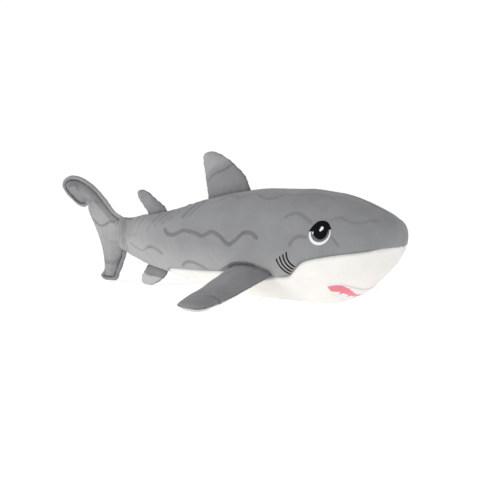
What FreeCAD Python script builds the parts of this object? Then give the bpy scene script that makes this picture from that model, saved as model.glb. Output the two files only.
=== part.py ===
import FreeCAD, Part
import math
import os

# Plush shark, nose towards +X, left side towards +Y, standing on its belly at Z = 0.
# The origin is under the middle of the whole toy. All lengths are millimetres.

V = FreeCAD.Vector
X_AXIS, Y_AXIS, Z_AXIS = V(1, 0, 0), V(0, 1, 0), V(0, 0, 1)
SIDES = {"right": -1, "left": 1}

doc = FreeCAD.newDocument("plush_shark")
sizes = doc.addObject("Spreadsheet::Sheet", "sizes")

DRIVING_SIZES = {
    "body_start": -128.0,
    "body_length": 356.0,
    "body_height": 115.0,
    "body_width": 112.0,
    "fabric": 1.5,
    "ease": 0.3,
    "thread_rise": 0.8,
    "thread_width": 1.5,
    "dorsal_span": 50.0,
    "dorsal_chord": 54.0,
    "rear_span": 29.5,
    "rear_chord": 25.0,
    "anal_span": 23.7,
    "anal_chord": 27.0,
    "pectoral_span": 92.0,
    "pectoral_chord": 54.0,
    "fin_thickness": 17.0,
    "small_fin_thickness": 12.0,
    "tail_thickness": 12.0,
    "tail_rim": 4.0,
    "tail_border": 6.6,
    "eye_wide": 22.0,
    "eye_tall": 24.0,
    "reach": 400.0,
}

# Loft sections: (along %, centre %, half tall %, half wide %, lean in degrees).
# The lean is how far the surface there has turned towards the end of the loft.
BODY_SECTIONS = [
    (0.0, 49.75, 16.75, 9.0, 0),
    (3.5, 47.5, 19.0, 12.5, 0),
    (10.5, 46.0, 24.5, 20.5, 0),
    (22.0, 45.25, 31.25, 30.5, 0),
    (33.0, 46.5, 39.5, 38.5, 0),
    (46.0, 48.25, 46.75, 45.5, 0),
    (58.5, 48.5, 50.0, 49.0, 0),
    (71.0, 48.5, 50.5, 50.0, 0),
    (79.5, 48.0, 48.5, 49.0, 10),
    (86.5, 49.75, 41.75, 44.5, 25),
    (92.0, 53.0, 32.0, 38.0, 35),
    (96.5, 56.75, 21.25, 27.5, 50),
    (99.0, 59.75, 11.75, 16.0, 65),
    (100.0, 59.25, 0.8, 1.5, 90),
]
# Fin sections: (span %, drift to the tail as % of chord, half chord %, half thickness %, lean).
DORSAL_SECTIONS = [
    (6, 0, 50, 18, 0),
    (12, 1, 49.5, 42, 0),
    (26, 2, 48, 50, 0),
    (56, 11, 38, 41, 0),
    (84, 24, 24, 29, 30),
    (95, 31, 14, 16, 60),
    (100, 34, 2, 4, 90),
]
REAR_SECTIONS = [
    (7, 0, 50, 24, 0),
    (20, 10, 47, 42, 0),
    (41, 28, 42, 42, 0),
    (75, 55, 33, 32, 25),
    (93, 68, 20, 22, 60),
    (100, 72, 3, 5, 90),
]
ANAL_SECTIONS = [
    (7, 0, 50, 24, 0),
    (27, 9, 55, 46, 0),
    (60, 29, 48, 42, 10),
    (86, 45, 32, 29, 40),
    (96, 52, 17, 15, 65),
    (100, 58, 3, 5, 90),
]
PECTORAL_SECTIONS = [
    (5.0, 0.0, 50.0, 17.0, 0.0),
    (12.0, 1.0, 48.3, 36.0, 0.0),
    (28.0, 2.0, 43.0, 44.0, 0.0),
    (56.0, 3.5, 36.5, 40.0, 0.0),
    (84.0, 10.5, 32.0, 29.0, 20.0),
    (96.0, 16.5, 25.5, 17.0, 55.0),
    (100.0, 23.0, 5.0, 4.0, 90.0),
]

# Where each fin's base lies: (x, z) of its middle and the slope of its base line.
DORSAL_BASE = (21.0, 106.5, 11.4)
REAR_BASE = (-79.0, 84.0, 14.5)
ANAL_BASE = (-78.0, 21.3, -9.0)
PECTORAL_BASE = (83.5, 49.0, 30.8)
PECTORAL_DROOP = 17.5
PECTORAL_TOE_IN = 1.0

# The seam between the grey back and the white belly, seen from the side, nose to tail.
SEAM_LINE = [
    (250, 62), (226, 59.5), (203, 55.5), (185, 53), (166, 49.5), (148, 44.5), (138, 36.5), (130, 29.5),
    (119, 27), (98, 26.5), (72, 27.5), (47, 28), (15, 26.5), (-18, 25.5), (-40, 24), (-56, 15), (-64, -6),
]

# The tail fin's outline, seen from the side: over the upper lobe, down the hollow
# trailing edge, and under the lower lobe back to the root.
TAIL_UPPER = [
    (-132, 77), (-141, 81), (-157.5, 97), (-181, 114.5), (-200, 121.5), (-214, 121.5), (-223, 116.5),
    (-225, 110), (-219, 101), (-207, 92), (-199, 87), (-190, 85.5), (-183, 89),
]
TAIL_HOLLOW = [
    (-183, 89), (-184, 83), (-181.5, 77), (-175, 66), (-166, 47.5), (-160.5, 29), (-160.5, 13), (-165, 7.5),
]
TAIL_LOWER = [(-165, 7.5), (-161, 3), (-151, 2), (-140, 3.5), (-136, 12), (-132.5, 25), (-132, 38)]
# The lines of thread on its border, five millimetres inside the outline.
TOPSTITCH = {
    "upper": [
        (-139, 74.5), (-144.5, 78.5), (-160.5, 93), (-182.5, 109.5), (-200.5, 116.5), (-212.5, 116.5),
        (-219, 113), (-219.5, 109.5), (-215, 103.5), (-204, 96),
    ],
    "lower": [(-137, 36), (-137.5, 26.5), (-140.5, 13.5), (-143.5, 8), (-151, 6.7), (-158, 7.2)],
}
PAD_OUTLINE_POINTS = 73

# Embroidery, seen from the side.
EYE_CENTRE = (164.5, 73.5)
EYE_LEAN = 12.0
PUPIL_CENTRE = (165.5, 75.6)
PUPIL_HALF = (8.3, 8.8)
IRIS_CENTRE = (165.0, 74.6)
IRIS_HALF = (9.5, 9.6)
GLINTS = {"large": ((166.6, 77.6), (2.2, 3.1)), "small": ((159.4, 73.7), (1.2, 2.1))}
GILL_TOP = (118.5, 47.0)
GILL_TOP_STEP = (4.1, 2.4)
GILL_BOTTOM = (132.4, 32.2)
GILL_BOTTOM_STEP = (2.4, 2.5)
GILL_BULGE = 3.1
GILL_COUNT = 4

# The mouth, seen from below: half of it, from the middle of the lip out to the corner.
UPPER_LIP = [(190.5, 0), (190, 12), (188, 23), (182.5, 33), (168, 40)]
LOWER_LIP = [(170, 0), (170, 12), (169.5, 23), (168.5, 33), (168, 40)]
LIP_WIDTH = 1.2
TOOTH_COUNT = 7
TOOTH_DEPTH = 7.5
TOOTH_ROOT = 0.3
TOOTH_MARGIN = 0.2

parts = {}


def fill_sheet():
    """Writes each driving size as a plain number with its alias."""
    for row, (alias, value) in enumerate(DRIVING_SIZES.items(), start=1):
        sizes.set(f"A{row}", alias.replace("_", " "))
        sizes.set(f"B{row}", str(value))
        sizes.setAlias(f"B{row}", alias)
    doc.recompute()


def size(alias):
    """Reads one driving size from the sheet."""
    return float(sizes.get(alias))


def part(node, shape_object):
    """Names an object as one physical piece of the toy."""
    shape_object.Label = node
    parts[node] = shape_object
    return shape_object


def boolean(kind, name, base, tool):
    """Cut or Common of two objects."""
    result = doc.addObject(f"Part::{kind}", name)
    result.Base = base
    result.Tool = tool
    return result


def fuse(name, shapes):
    """One solid from several objects."""
    result = doc.addObject("Part::MultiFuse", name)
    result.Shapes = shapes
    return result


def box(name, corner, lengths):
    """A block whose corner and sides are expressions or numbers."""
    block = doc.addObject("Part::Box", name)
    for axis, value in zip("xyz", corner):
        block.setExpression(f"Placement.Base.{axis}", str(value))
    for side, value in zip(("Length", "Width", "Height"), lengths):
        block.setExpression(side, str(value))
    return block


def section(name, along, centre, half_tall, half_wide, tall_first):
    """An ellipse across the loft, which runs along the local Z axis."""
    ellipse = doc.addObject("Part::Ellipse", name)
    ellipse.setExpression("MajorRadius", half_tall if tall_first else half_wide)
    ellipse.setExpression("MinorRadius", half_wide if tall_first else half_tall)
    ellipse.setExpression("Placement.Base.x", centre)
    ellipse.setExpression("Placement.Base.z", along)
    if not tall_first:
        ellipse.Placement.Rotation = FreeCAD.Rotation(Z_AXIS, 90)
    return ellipse


def loft(name, rows, length, tall, wide, inset, start="0", drift_sign=1):
    """A closed loft of ellipses, its whole surface set in by the inset expression.

    length, tall and wide are aliases that the rows' percentages are taken of.
    """
    sections = []
    for index, (along, centre, half_tall, half_wide, lean) in enumerate(rows):
        forward = math.sin(math.radians(lean))
        outward = math.cos(math.radians(lean))
        tall_first = half_tall * size(tall) >= half_wide * size(wide)
        sections.append(section(
            f"{name}_section_{index}",
            f"{start} + sizes.{length} * {along / 100:.6f} - ({inset}) * {forward:.6f}",
            f"sizes.{tall} * {drift_sign * centre / 100:.6f}",
            f"sizes.{tall} * {half_tall / 100:.6f} - ({inset}) * {outward:.6f}",
            f"sizes.{wide} * {half_wide / 100:.6f} - ({inset}) * {outward:.6f}",
            tall_first,
        ))
    solid = doc.addObject("Part::Loft", name)
    solid.Sections = sections
    solid.Solid = True
    return solid


def body_loft(name, inset):
    """The body's shape, turned so that the loft runs from tail to nose."""
    solid = loft(name, BODY_SECTIONS, "body_length", "body_height", "body_width", inset, "sizes.body_start")
    solid.Placement = FreeCAD.Placement(V(), FreeCAD.Rotation(Z_AXIS, -Y_AXIS, X_AXIS, "ZYX"))
    return solid


def half_space(name, sign):
    """A large block that holds everything on one side of the middle plane."""
    corner = ("-sizes.reach", "0" if sign > 0 else "-sizes.reach", "-sizes.reach")
    return box(name, corner, ("sizes.reach * 2", "sizes.reach", "sizes.reach * 2"))


def above(name, solid, level):
    """The solid without what hangs below a level: the toy settles flat on its belly."""
    span = "sizes.reach * 2"
    corner = ("-sizes.reach", "-sizes.reach", f"({level}) - sizes.reach")
    ground = box(f"{name}_ground", corner, (span, span, "sizes.reach"))
    return boolean("Cut", name, solid, ground)


def curve(points):
    """A smooth edge through points of the side view."""
    spline = Part.BSplineCurve()
    spline.interpolate([V(x, 0, z) for x, z in points])
    return spline.toShape()


def straight(start, end):
    """A straight edge between two points of the side view."""
    return Part.LineSegment(V(start[0], 0, start[1]), V(end[0], 0, end[1])).toShape()


def profile(name, shape):
    """A drawn outline, kept as an object that extrusions use."""
    drawn = doc.addObject("Part::Feature", name)
    drawn.Shape = shape
    return drawn


def extrude(name, base, direction, length, back="0"):
    """A solid pushed out of an outline along a direction, and back the other way."""
    solid = doc.addObject("Part::Extrusion", name)
    solid.Base = base
    solid.DirMode = "Custom"
    solid.Dir = direction
    solid.Solid = True
    solid.setExpression("LengthFwd", length)
    solid.setExpression("LengthRev", back)
    return solid


def side_ellipse(name, centre, halves, lean):
    """An upright ellipse of the side view, leaning to the nose by some degrees."""
    ellipse = doc.addObject("Part::Ellipse", name)
    ellipse.MajorRadius = max(halves)
    ellipse.MinorRadius = min(halves)
    upright = FreeCAD.Rotation(Z_AXIS, X_AXIS, Y_AXIS, "XYZ")
    turned = FreeCAD.Rotation(Y_AXIS, lean) * upright
    ellipse.Placement = FreeCAD.Placement(V(centre[0], 0, centre[1]), turned)
    return ellipse


def band(name, edges):
    """The flat outline of a line of thread that follows a row of edges."""
    outline = Part.Wire(edges).makeOffset2D(size("thread_width") / 2, 0, True, False, False)
    return profile(name, outline.toNurbs())


def inset_outline(wire, inset):
    """A closed line of short straight runs a constant distance inside an outline."""
    return Part.makePolygon(wire.makeOffset2D(-inset).discretize(Number=PAD_OUTLINE_POINTS))


def make_body():
    """The stuffing, the two grey panels and the white one, and the shell that embroidery lies in."""
    outer = above("body_outside", body_loft("body_outer_loft", "0"), "0")
    cavity = above("body_cavity", body_loft("body_cavity_loft", "sizes.fabric"), "sizes.fabric")
    stuffing_inset = "sizes.fabric + sizes.ease"
    stuffing = above("body_filling", body_loft("body_filling_loft", stuffing_inset), stuffing_inset)
    part("body_stuffing", stuffing)
    skin = boolean("Cut", "body_skin", outer, cavity)

    seam = Part.Wire([
        curve(SEAM_LINE),
        straight(SEAM_LINE[-1], (SEAM_LINE[-1][0], -size("reach"))),
        straight((SEAM_LINE[-1][0], -size("reach")), (SEAM_LINE[0][0], -size("reach"))),
        straight((SEAM_LINE[0][0], -size("reach")), SEAM_LINE[0]),
    ])
    below_seam = profile("belly_outline", seam)
    belly_zone = extrude("belly_zone", below_seam, Y_AXIS, "sizes.body_width", "sizes.body_width")
    part("belly_panel", boolean("Common", "belly", skin, belly_zone))
    back = boolean("Cut", "back", skin, belly_zone)
    for side, sign in SIDES.items():
        half = half_space(f"{side}_half", sign)
        part(f"back_panel_{side}", boolean("Common", f"back_{side}", back, half))

    thread_outside = body_loft("thread_outer_loft", "-sizes.thread_rise")
    thread_inside = body_loft("thread_inner_loft", "-sizes.ease / 2")
    return boolean("Cut", "thread_shell", thread_outside, thread_inside)


def make_fin(name, rows, aliases, panels, stuffing, placement):
    """A stuffed fin of two panels sewn along its edge, built upright and then placed.

    The panels are given in order: the one on the local -Y side, then the one on +Y.
    """
    length, chord, thickness = aliases
    lofts = []
    insets = {"outer": "0", "cavity": "sizes.fabric", "filling": "sizes.fabric + sizes.ease"}
    for label, inset in insets.items():
        lofts.append(loft(f"{name}_{label}", rows, length, chord, thickness, inset, drift_sign=-1))
    outer, cavity, filling = lofts
    skin = boolean("Cut", f"{name}_skin", outer, cavity)
    for node, sign in zip(panels, (-1, 1)):
        half = half_space(f"{node}_half", sign)
        panel = boolean("Common", f"{node}_shape", skin, half)
        panel.Placement = placement
        part(node, panel)
    filling.Placement = placement
    part(stuffing, filling)


def fin_frame(origin, chord, span):
    """A placement whose local X runs along the chord to the nose and local Z along the span."""
    return FreeCAD.Placement(origin, FreeCAD.Rotation(chord, span.cross(chord), span, "XZY"))


def centre_fin_frame(base, up):
    """The frame of a fin on the centre line, its base sloped to follow the back or the belly."""
    x, z, slope = base
    chord = FreeCAD.Rotation(Y_AXIS, -slope).multVec(X_AXIS)
    span = FreeCAD.Rotation(Y_AXIS, -slope).multVec(Z_AXIS * up)
    return fin_frame(V(x, 0, z), chord, span)


def make_centre_fins():
    """The dorsal fin, the small rear dorsal fin and the anal fin."""
    right_left = ("right", "left")
    left_right = ("left", "right")
    fins = (
        ("dorsal_fin", DORSAL_SECTIONS, "dorsal", "fin_thickness", DORSAL_BASE, 1, right_left),
        ("rear_dorsal_fin", REAR_SECTIONS, "rear", "small_fin_thickness", REAR_BASE, 1, right_left),
        ("anal_fin", ANAL_SECTIONS, "anal", "small_fin_thickness", ANAL_BASE, -1, left_right),
    )
    for name, rows, alias, thickness, base, up, order in fins:
        aliases = (f"{alias}_span", f"{alias}_chord", thickness)
        panels = [f"{name}_panel_{side}" for side in order]
        make_fin(name, rows, aliases, panels, f"{name}_stuffing", centre_fin_frame(base, up))


def make_pectoral_fins():
    """The two side fins, which spread out and down to the floor."""
    x, y, z = PECTORAL_BASE
    droop = math.radians(PECTORAL_DROOP)
    toe = math.radians(PECTORAL_TOE_IN)
    for side, sign in SIDES.items():
        chord = V(math.cos(toe), sign * math.sin(toe), 0)
        span = V(0, sign * math.cos(droop), -math.sin(droop))
        span = (span - chord * span.dot(chord)).normalize()
        placement = fin_frame(V(x, sign * y, z), chord, span)
        top_is_plus = placement.Rotation.multVec(Y_AXIS).z > 0
        order = ("bottom", "top") if top_is_plus else ("top", "bottom")
        panels = [f"pectoral_fin_{side}_panel_{face}" for face in order]
        aliases = ("pectoral_span", "pectoral_chord", "fin_thickness")
        name = f"pectoral_fin_{side}"
        make_fin(name, PECTORAL_SECTIONS, aliases, panels, f"{name}_stuffing", placement)


def make_tail():
    """The flat tail fin: two panels with a thin stitched border round a padded middle."""
    outline = profile("tail_outline", Part.Wire([
        curve(TAIL_UPPER), curve(TAIL_HOLLOW), curve(TAIL_LOWER), straight(TAIL_LOWER[-1], TAIL_UPPER[0]),
    ]))
    border = size("tail_border")
    insets = {
        "pad": border,
        "cavity": border + size("fabric"),
        "filling": border + size("fabric") + size("ease"),
    }
    rings = {}
    for label, inset in insets.items():
        rings[label] = profile(f"tail_{label}_outline", inset_outline(outline.Shape, inset))
    for side, sign in SIDES.items():
        out = Y_AXIS * sign
        rim = extrude(f"tail_rim_{side}", outline, out, "sizes.tail_rim / 2")
        pad = extrude(f"tail_pad_{side}", rings["pad"], out, "sizes.tail_thickness / 2")
        inner_half = "sizes.tail_thickness / 2 - sizes.fabric"
        cavity = extrude(f"tail_cavity_{side}", rings["cavity"], out, inner_half)
        raised = fuse(f"tail_raised_{side}", [rim, pad])
        part(f"tail_panel_{side}", boolean("Cut", f"tail_face_{side}", raised, cavity))
        for place, points in TOPSTITCH.items():
            ending = f"{place}_{side}"
            line = band(f"tail_stitch_line_{ending}", [curve(points)])
            thread = extrude(f"tail_stitch_{ending}", line, out, "sizes.tail_rim / 2 + sizes.thread_rise")
            bed = extrude(f"tail_stitch_bed_{ending}", line, out, "sizes.tail_rim / 2")
            part(f"tail_topstitch_{ending}", boolean("Cut", f"tail_thread_{ending}", thread, bed))
    filling_half = "sizes.tail_thickness / 2 - sizes.fabric - sizes.ease"
    part("tail_stuffing", extrude("tail_filling", rings["filling"], Y_AXIS, filling_half, filling_half))


def embroider(node, shell, prism):
    """A patch of thread: the part of the thread shell inside a prism."""
    part(node, boolean("Common", f"{node}_thread", shell, prism))


def make_eyes(shell):
    """White, iris, black and two glints of thread on each side of the head."""
    for side, sign in SIDES.items():
        def prism(name, centre, halves):
            drawn = side_ellipse(f"{name}_{side}_outline", centre, halves, EYE_LEAN)
            return extrude(f"{name}_{side}_prism", drawn, Y_AXIS * sign, "sizes.body_width")

        white = prism("white", EYE_CENTRE, (size("eye_wide") / 2, size("eye_tall") / 2))
        iris = prism("iris", IRIS_CENTRE, IRIS_HALF)
        pupil = prism("pupil", PUPIL_CENTRE, PUPIL_HALF)
        glints = {name: prism(f"glint_{name}", *place) for name, place in GLINTS.items()}
        coloured = fuse(f"eye_coloured_{side}", [iris, pupil])
        embroider(f"eye_white_{side}", shell, boolean("Cut", f"eye_white_zone_{side}", white, coloured))
        embroider(f"eye_iris_{side}", shell, boolean("Cut", f"eye_iris_zone_{side}", iris, pupil))
        shine = fuse(f"eye_shine_{side}", list(glints.values()))
        embroider(f"eye_pupil_{side}", shell, boolean("Cut", f"eye_pupil_zone_{side}", pupil, shine))
        for name, zone in glints.items():
            embroider(f"eye_glint_{name}_{side}", shell, zone)


def make_gills(shell):
    """Four curved lines of dark thread behind each cheek."""
    for side, sign in SIDES.items():
        for index in range(GILL_COUNT):
            top, low = (
                V(start[0] + index * step[0], 0, start[1] + index * step[1])
                for start, step in ((GILL_TOP, GILL_TOP_STEP), (GILL_BOTTOM, GILL_BOTTOM_STEP))
            )
            across = (low - top).cross(Y_AXIS).normalize()
            middle = (top + low) / 2 - across * GILL_BULGE * math.copysign(1, across.x)
            name = f"gill_stitch_{side}_{index + 1}"
            line = band(f"{name}_line", [Part.Arc(top, middle, low).toShape()])
            embroider(name, shell, extrude(f"{name}_prism", line, Y_AXIS * sign, "sizes.body_width"))


def lip_curve(half_points):
    """A lip drawn from below, from the right corner over the middle to the left corner."""
    right = [V(x, -y, 0) for x, y in reversed(half_points)]
    left = [V(x, y, 0) for x, y in half_points[1:]]
    spline = Part.BSplineCurve()
    spline.interpolate(right + left)
    return spline


def tooth_row(lip, depth):
    """A zigzag of pointed teeth along the middle of a lip, as one flat face."""
    steps = TOOTH_COUNT * 2
    start, span = lip.FirstParameter, lip.LastParameter - lip.FirstParameter
    zigzag = []
    for step in range(steps + 1):
        root = lip.value(start + span * (TOOTH_MARGIN + (1 - 2 * TOOTH_MARGIN) * step / steps))
        reach = depth if step % 2 else depth * TOOTH_ROOT
        zigzag.append(V(root.x + reach, root.y, 0))
    back = [V(point.x - depth * 3, point.y, 0) for point in (zigzag[-1], zigzag[0])]
    return Part.Face(Part.makePolygon(zigzag + back + [zigzag[0]]))


def make_mouth(shell):
    """A pink lining with two rows of teeth inside a line of thread, under the snout."""
    upper, lower = lip_curve(UPPER_LIP), lip_curve(LOWER_LIP)
    whole = Part.Face(Part.Wire([upper.toShape(), lower.toShape()]))
    opening = whole.makeOffset2D(-LIP_WIDTH).toNurbs()
    teeth_upper = opening.common(tooth_row(upper, -TOOTH_DEPTH))
    teeth_lower = opening.common(tooth_row(lower, TOOTH_DEPTH))
    flats = {
        "mouth_outline": whole.cut(opening),
        "mouth_lining": opening.cut(teeth_upper).cut(teeth_lower),
        "mouth_teeth_upper": teeth_upper,
        "mouth_teeth_lower": teeth_lower,
    }
    for node, flat in flats.items():
        drawn = profile(f"{node}_flat", flat.Faces[0])
        embroider(node, shell, extrude(f"{node}_prism", drawn, Z_AXIS, "sizes.body_height / 2"))


def check_and_export():
    """Writes every piece after checking that each one is sound."""
    for item in doc.Objects:
        if "Invalid" in item.State or "Error" in item.State:
            raise RuntimeError(f"{item.Name} did not recompute: {item.State}")
    os.makedirs("parts", exist_ok=True)
    for node, item in parts.items():
        shape = item.Shape
        if shape.isNull() or not shape.isValid() or not shape.Solids:
            raise RuntimeError(f"{node} has no sound solid")
        shape.exportStep(f"parts/{node}.step")
        print(f"{node}: {len(shape.Solids)} solid, {shape.Volume:.1f} mm3")


fill_sheet()
thread_shell = make_body()
make_centre_fins()
make_pectoral_fins()
make_tail()
make_eyes(thread_shell)
make_gills(thread_shell)
make_mouth(thread_shell)
doc.recompute()
check_and_export()
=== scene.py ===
import math

import bpy
import numpy as np
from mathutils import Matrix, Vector, noise
from mathutils.bvhtree import BVHTree
from mathutils.geometry import delaunay_2d_cdt


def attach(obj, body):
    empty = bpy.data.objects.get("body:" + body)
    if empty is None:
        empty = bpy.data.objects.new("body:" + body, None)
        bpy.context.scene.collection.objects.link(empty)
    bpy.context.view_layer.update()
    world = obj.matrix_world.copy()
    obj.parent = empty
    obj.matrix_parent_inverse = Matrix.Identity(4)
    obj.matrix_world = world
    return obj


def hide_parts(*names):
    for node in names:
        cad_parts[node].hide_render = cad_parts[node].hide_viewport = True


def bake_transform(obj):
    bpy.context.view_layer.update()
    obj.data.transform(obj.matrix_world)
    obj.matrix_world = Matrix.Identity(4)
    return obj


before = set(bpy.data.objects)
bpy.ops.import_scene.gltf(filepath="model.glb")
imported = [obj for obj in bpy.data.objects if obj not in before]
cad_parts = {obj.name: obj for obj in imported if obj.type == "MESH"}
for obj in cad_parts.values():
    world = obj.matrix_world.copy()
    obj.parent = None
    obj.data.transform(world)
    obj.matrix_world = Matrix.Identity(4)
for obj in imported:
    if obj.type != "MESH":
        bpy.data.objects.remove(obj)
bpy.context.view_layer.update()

# Plush shark. Lengths in this script are millimetres in the frame's axes: +X to the nose,
# +Y to its left side, +Z up, the floor at 0. SCALE turns them into Blender's metres.
SCALE = 0.001
SIDES = {"right": -1, "left": 1}

# ---------------------------------------------------------------- the body's shape

BODY_START, BODY_LENGTH, BODY_HEIGHT, BODY_WIDTH = -128.0, 356.0, 115.0, 112.0
# (along %, centre %, half tall %, half wide %), as the part's own sections are.
BODY_SECTIONS = [
    (-1.2, 50.1, 16.4, 6.3),
    (0.0, 49.75, 16.75, 8.0),
    (3.5, 47.5, 19.0, 12.5),
    (10.5, 46.0, 24.5, 20.5),
    (22.0, 45.25, 31.25, 30.5),
    (33.0, 46.5, 39.5, 38.5),
    (46.0, 48.25, 46.75, 45.5),
    (58.5, 48.5, 50.0, 49.0),
    (71.0, 48.5, 50.5, 50.0),
    (79.5, 48.0, 48.5, 49.0),
    (86.5, 49.75, 41.75, 44.5),
    (92.0, 53.0, 32.0, 38.0),
    (96.5, 56.75, 21.25, 27.5),
    (99.0, 59.75, 11.75, 16.0),
    (100.0, 59.25, 0.05, 0.05),
]
# The side seam between the grey back and the white belly, from the side: (x, z).
SEAM_LINE = [
    (-64, -6), (-56, 15), (-40, 24), (-18, 25.5), (15, 26.5), (47, 28), (72, 27.5), (98, 26.5),
    (119, 27), (130, 29.5), (138, 36.5), (148, 44.5), (166, 49.5), (185, 53), (203, 55.5), (226, 59.5),
    (250, 62),
]
BELLY_START, BELLY_END = -57.0, 226.8

# The fins' rows: (span %, drift to the tail % of chord, half chord %, half thickness %).
DORSAL_ROWS = [
    (-16, -2, 52, 46), (4, 0, 50.5, 44), (26, 2, 48, 50), (56, 11, 38, 41),
    (84, 24, 24, 29), (95, 31, 14, 18), (100, 34, 0.5, 1),
]
REAR_ROWS = [
    (-24, -8, 54, 40), (5, 0, 50, 42), (20, 10, 47, 44), (41, 28, 42, 42),
    (75, 55, 33, 32), (93, 68, 20, 22), (100, 72, 0.5, 1),
]
ANAL_ROWS = [
    (-26, -8, 46, 40), (5, 0, 50, 44), (27, 9, 55, 48), (60, 29, 48, 42),
    (86, 45, 32, 29), (96, 52, 17, 17), (100, 58, 0.5, 1),
]
PECTORAL_ROWS = [
    (-10, 1, 47, 36), (4, 1, 46.5, 38), (12, 1.5, 46, 41), (28, 2.5, 43.5, 44), (56, 4.5, 39.5, 43),
    (84, 11, 33.5, 37), (95, 15.5, 27, 30), (100, 20.5, 0.6, 1),
]
PECTORAL_SIZES, PECTORAL_ROOT, PECTORAL_BLEND = (92.5, 54, 17), (83.5, 48.3, 31), 14
PECTORAL_DROOP, PECTORAL_TOE_IN, PECTORAL_PITCH = 18.2, 1.0, -0.08
# The fins of the centre line: rows, (span, chord, thickness), root, slope in degrees, 1 if it stands up or
# -1 if it hangs, noise seed, and a blend depth along the fin, from which an unused end point is worked out.
CENTRE_FINS = {
    "dorsal_fin": (DORSAL_ROWS, (50, 54, 17), (21, 0, 105.0), 11.4, 1, 11, 12),
    "rear_dorsal_fin": (REAR_ROWS, (29.5, 25, 12), (-79, 0, 83.5), 14.5, 1, 21, 8),
    "anal_fin": (ANAL_ROWS, (24, 27, 12), (-78, 0, 22.3), -9.0, -1, 31, 7),
}

# The tail fin from the side, as the part has it.
TAIL_UPPER = [
    (-132, 77), (-141, 81), (-157.5, 97), (-181, 114.5), (-200, 121.5), (-214, 121.5), (-223, 116.5),
    (-225, 110), (-219, 101), (-207, 92), (-199, 87), (-190, 85.5), (-183, 89),
]
TAIL_HOLLOW = [
    (-183, 89), (-184, 83), (-181.5, 77), (-175, 66), (-166, 47.5), (-160.5, 29), (-160.5, 13), (-165, 7.5),
]
TAIL_LOWER = [(-165, 7.5), (-161, 3), (-151, 2), (-140, 3.5), (-136, 11), (-131, 21), (-127, 30), (-125, 39)]
TAIL_ROOT_INSIDE = [(-122, 43), (-122, 72)]
TAIL_PUFF, BORDER_PUFF, STITCH_INSET = 5.2, 2.7, 4.6
# The two rows of topstitching of its border, and its stitches' length, gap and half thickness.
STITCH_ROWS = {
    "upper": [
        (-133, 71.5), (-144.5, 78.6), (-155.5, 89), (-165.5, 98), (-178.5, 108), (-191.5, 113.8),
        (-205, 116.6), (-213.8, 115.2), (-218.2, 111.5), (-216.5, 105.8), (-208.5, 98.2), (-198.5, 91.4),
        (-191, 89.4), (-185.5, 90.4),
    ],
    "lower": [
        (-128.8, 38), (-132, 30.3), (-136.2, 21.8), (-139.6, 13.8), (-142.5, 8), (-151, 6.2), (-159.5, 7),
    ],
}
STITCH_LENGTH, STITCH_GAP, THREAD = 2.8, 0.7, 0.5

# Printed bands on the grey plush: (half width, strength, points from the side).
BANDS = [
    (2.2, 0.85, [
        (-42, 67.5), (-36, 63.5), (-26, 62.8), (-10, 68), (8, 67), (22, 64.5), (34, 69), (46, 65.5),
        (60, 57.8), (69, 63.5), (78, 70.3), (88, 70), (94, 66),
    ]),
    (1.7, 0.65, [(-14, 30.5), (-6, 34.8), (4, 35.5), (16, 32.5), (28, 27.2), (38, 25.5)]),
    (2.5, 0.95, [(42, 27), (52, 32.5), (64, 37.5), (76, 38.7), (88, 37.4)]),
    (1.8, 0.6, [(-72, 45.4), (-64.5, 47.5), (-56, 46), (-50, 43.8), (-45, 41)]),
    (1.1, 0.5, [(-104, 49), (-92, 44.5), (-80, 42), (-71, 45.6)]),
    (1.7, 0.5, [(123.5, 87.5), (128, 89.8), (134, 91.4), (140, 90.3), (147, 87.2), (154, 83)]),
    (1.9, 0.6, [(134, 60.5), (136.4, 64.9), (140, 68.1), (145.3, 70), (151.5, 69.3)]),
    (1.2, 0.6, [(177, 70.5), (181, 66.7), (184.8, 61.8)]),
    (1.3, 0.32, [(172.5, 86), (181, 88.8), (191, 84.6), (202.5, 84.2), (208, 86), (212, 85.5)]),
]
# The faint wavy line along each side of the back, from above.
BACK_WAVE = [
    (26, 28), (34, 18), (43, 20), (54, 26.5), (64, 22), (72, 22), (84, 28.5), (97, 30.5),
    (108, 21.5), (118, 24.5), (128, 22.5), (143, 18), (163, 20),
]
BACK_WAVE_HALF, BACK_WAVE_STRENGTH = 1.3, 0.62
# Printed marks on the tail fin, as BANDS.
TAIL_MARKS = [
    (1.5, 0.65, [
        (-181.5, 73.5), (-177, 72), (-172.5, 71.6), (-166, 67.3), (-160.5, 65.2), (-154, 66.2),
        (-147.5, 70), (-140, 70.5),
    ]),
    (2.6, 0.5, [(-158.5, 25), (-152, 23), (-145.5, 24.5), (-140.5, 23), (-136, 25.5)]),
    (2.4, 0.7, [(-211, 109.5), (-205, 111.5), (-198, 110), (-196, 106.5)]),
    (1.4, 0.4, [(-182, 90), (-178.5, 93), (-174, 94), (-168, 92.3), (-163, 89.6)]),
]

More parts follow.
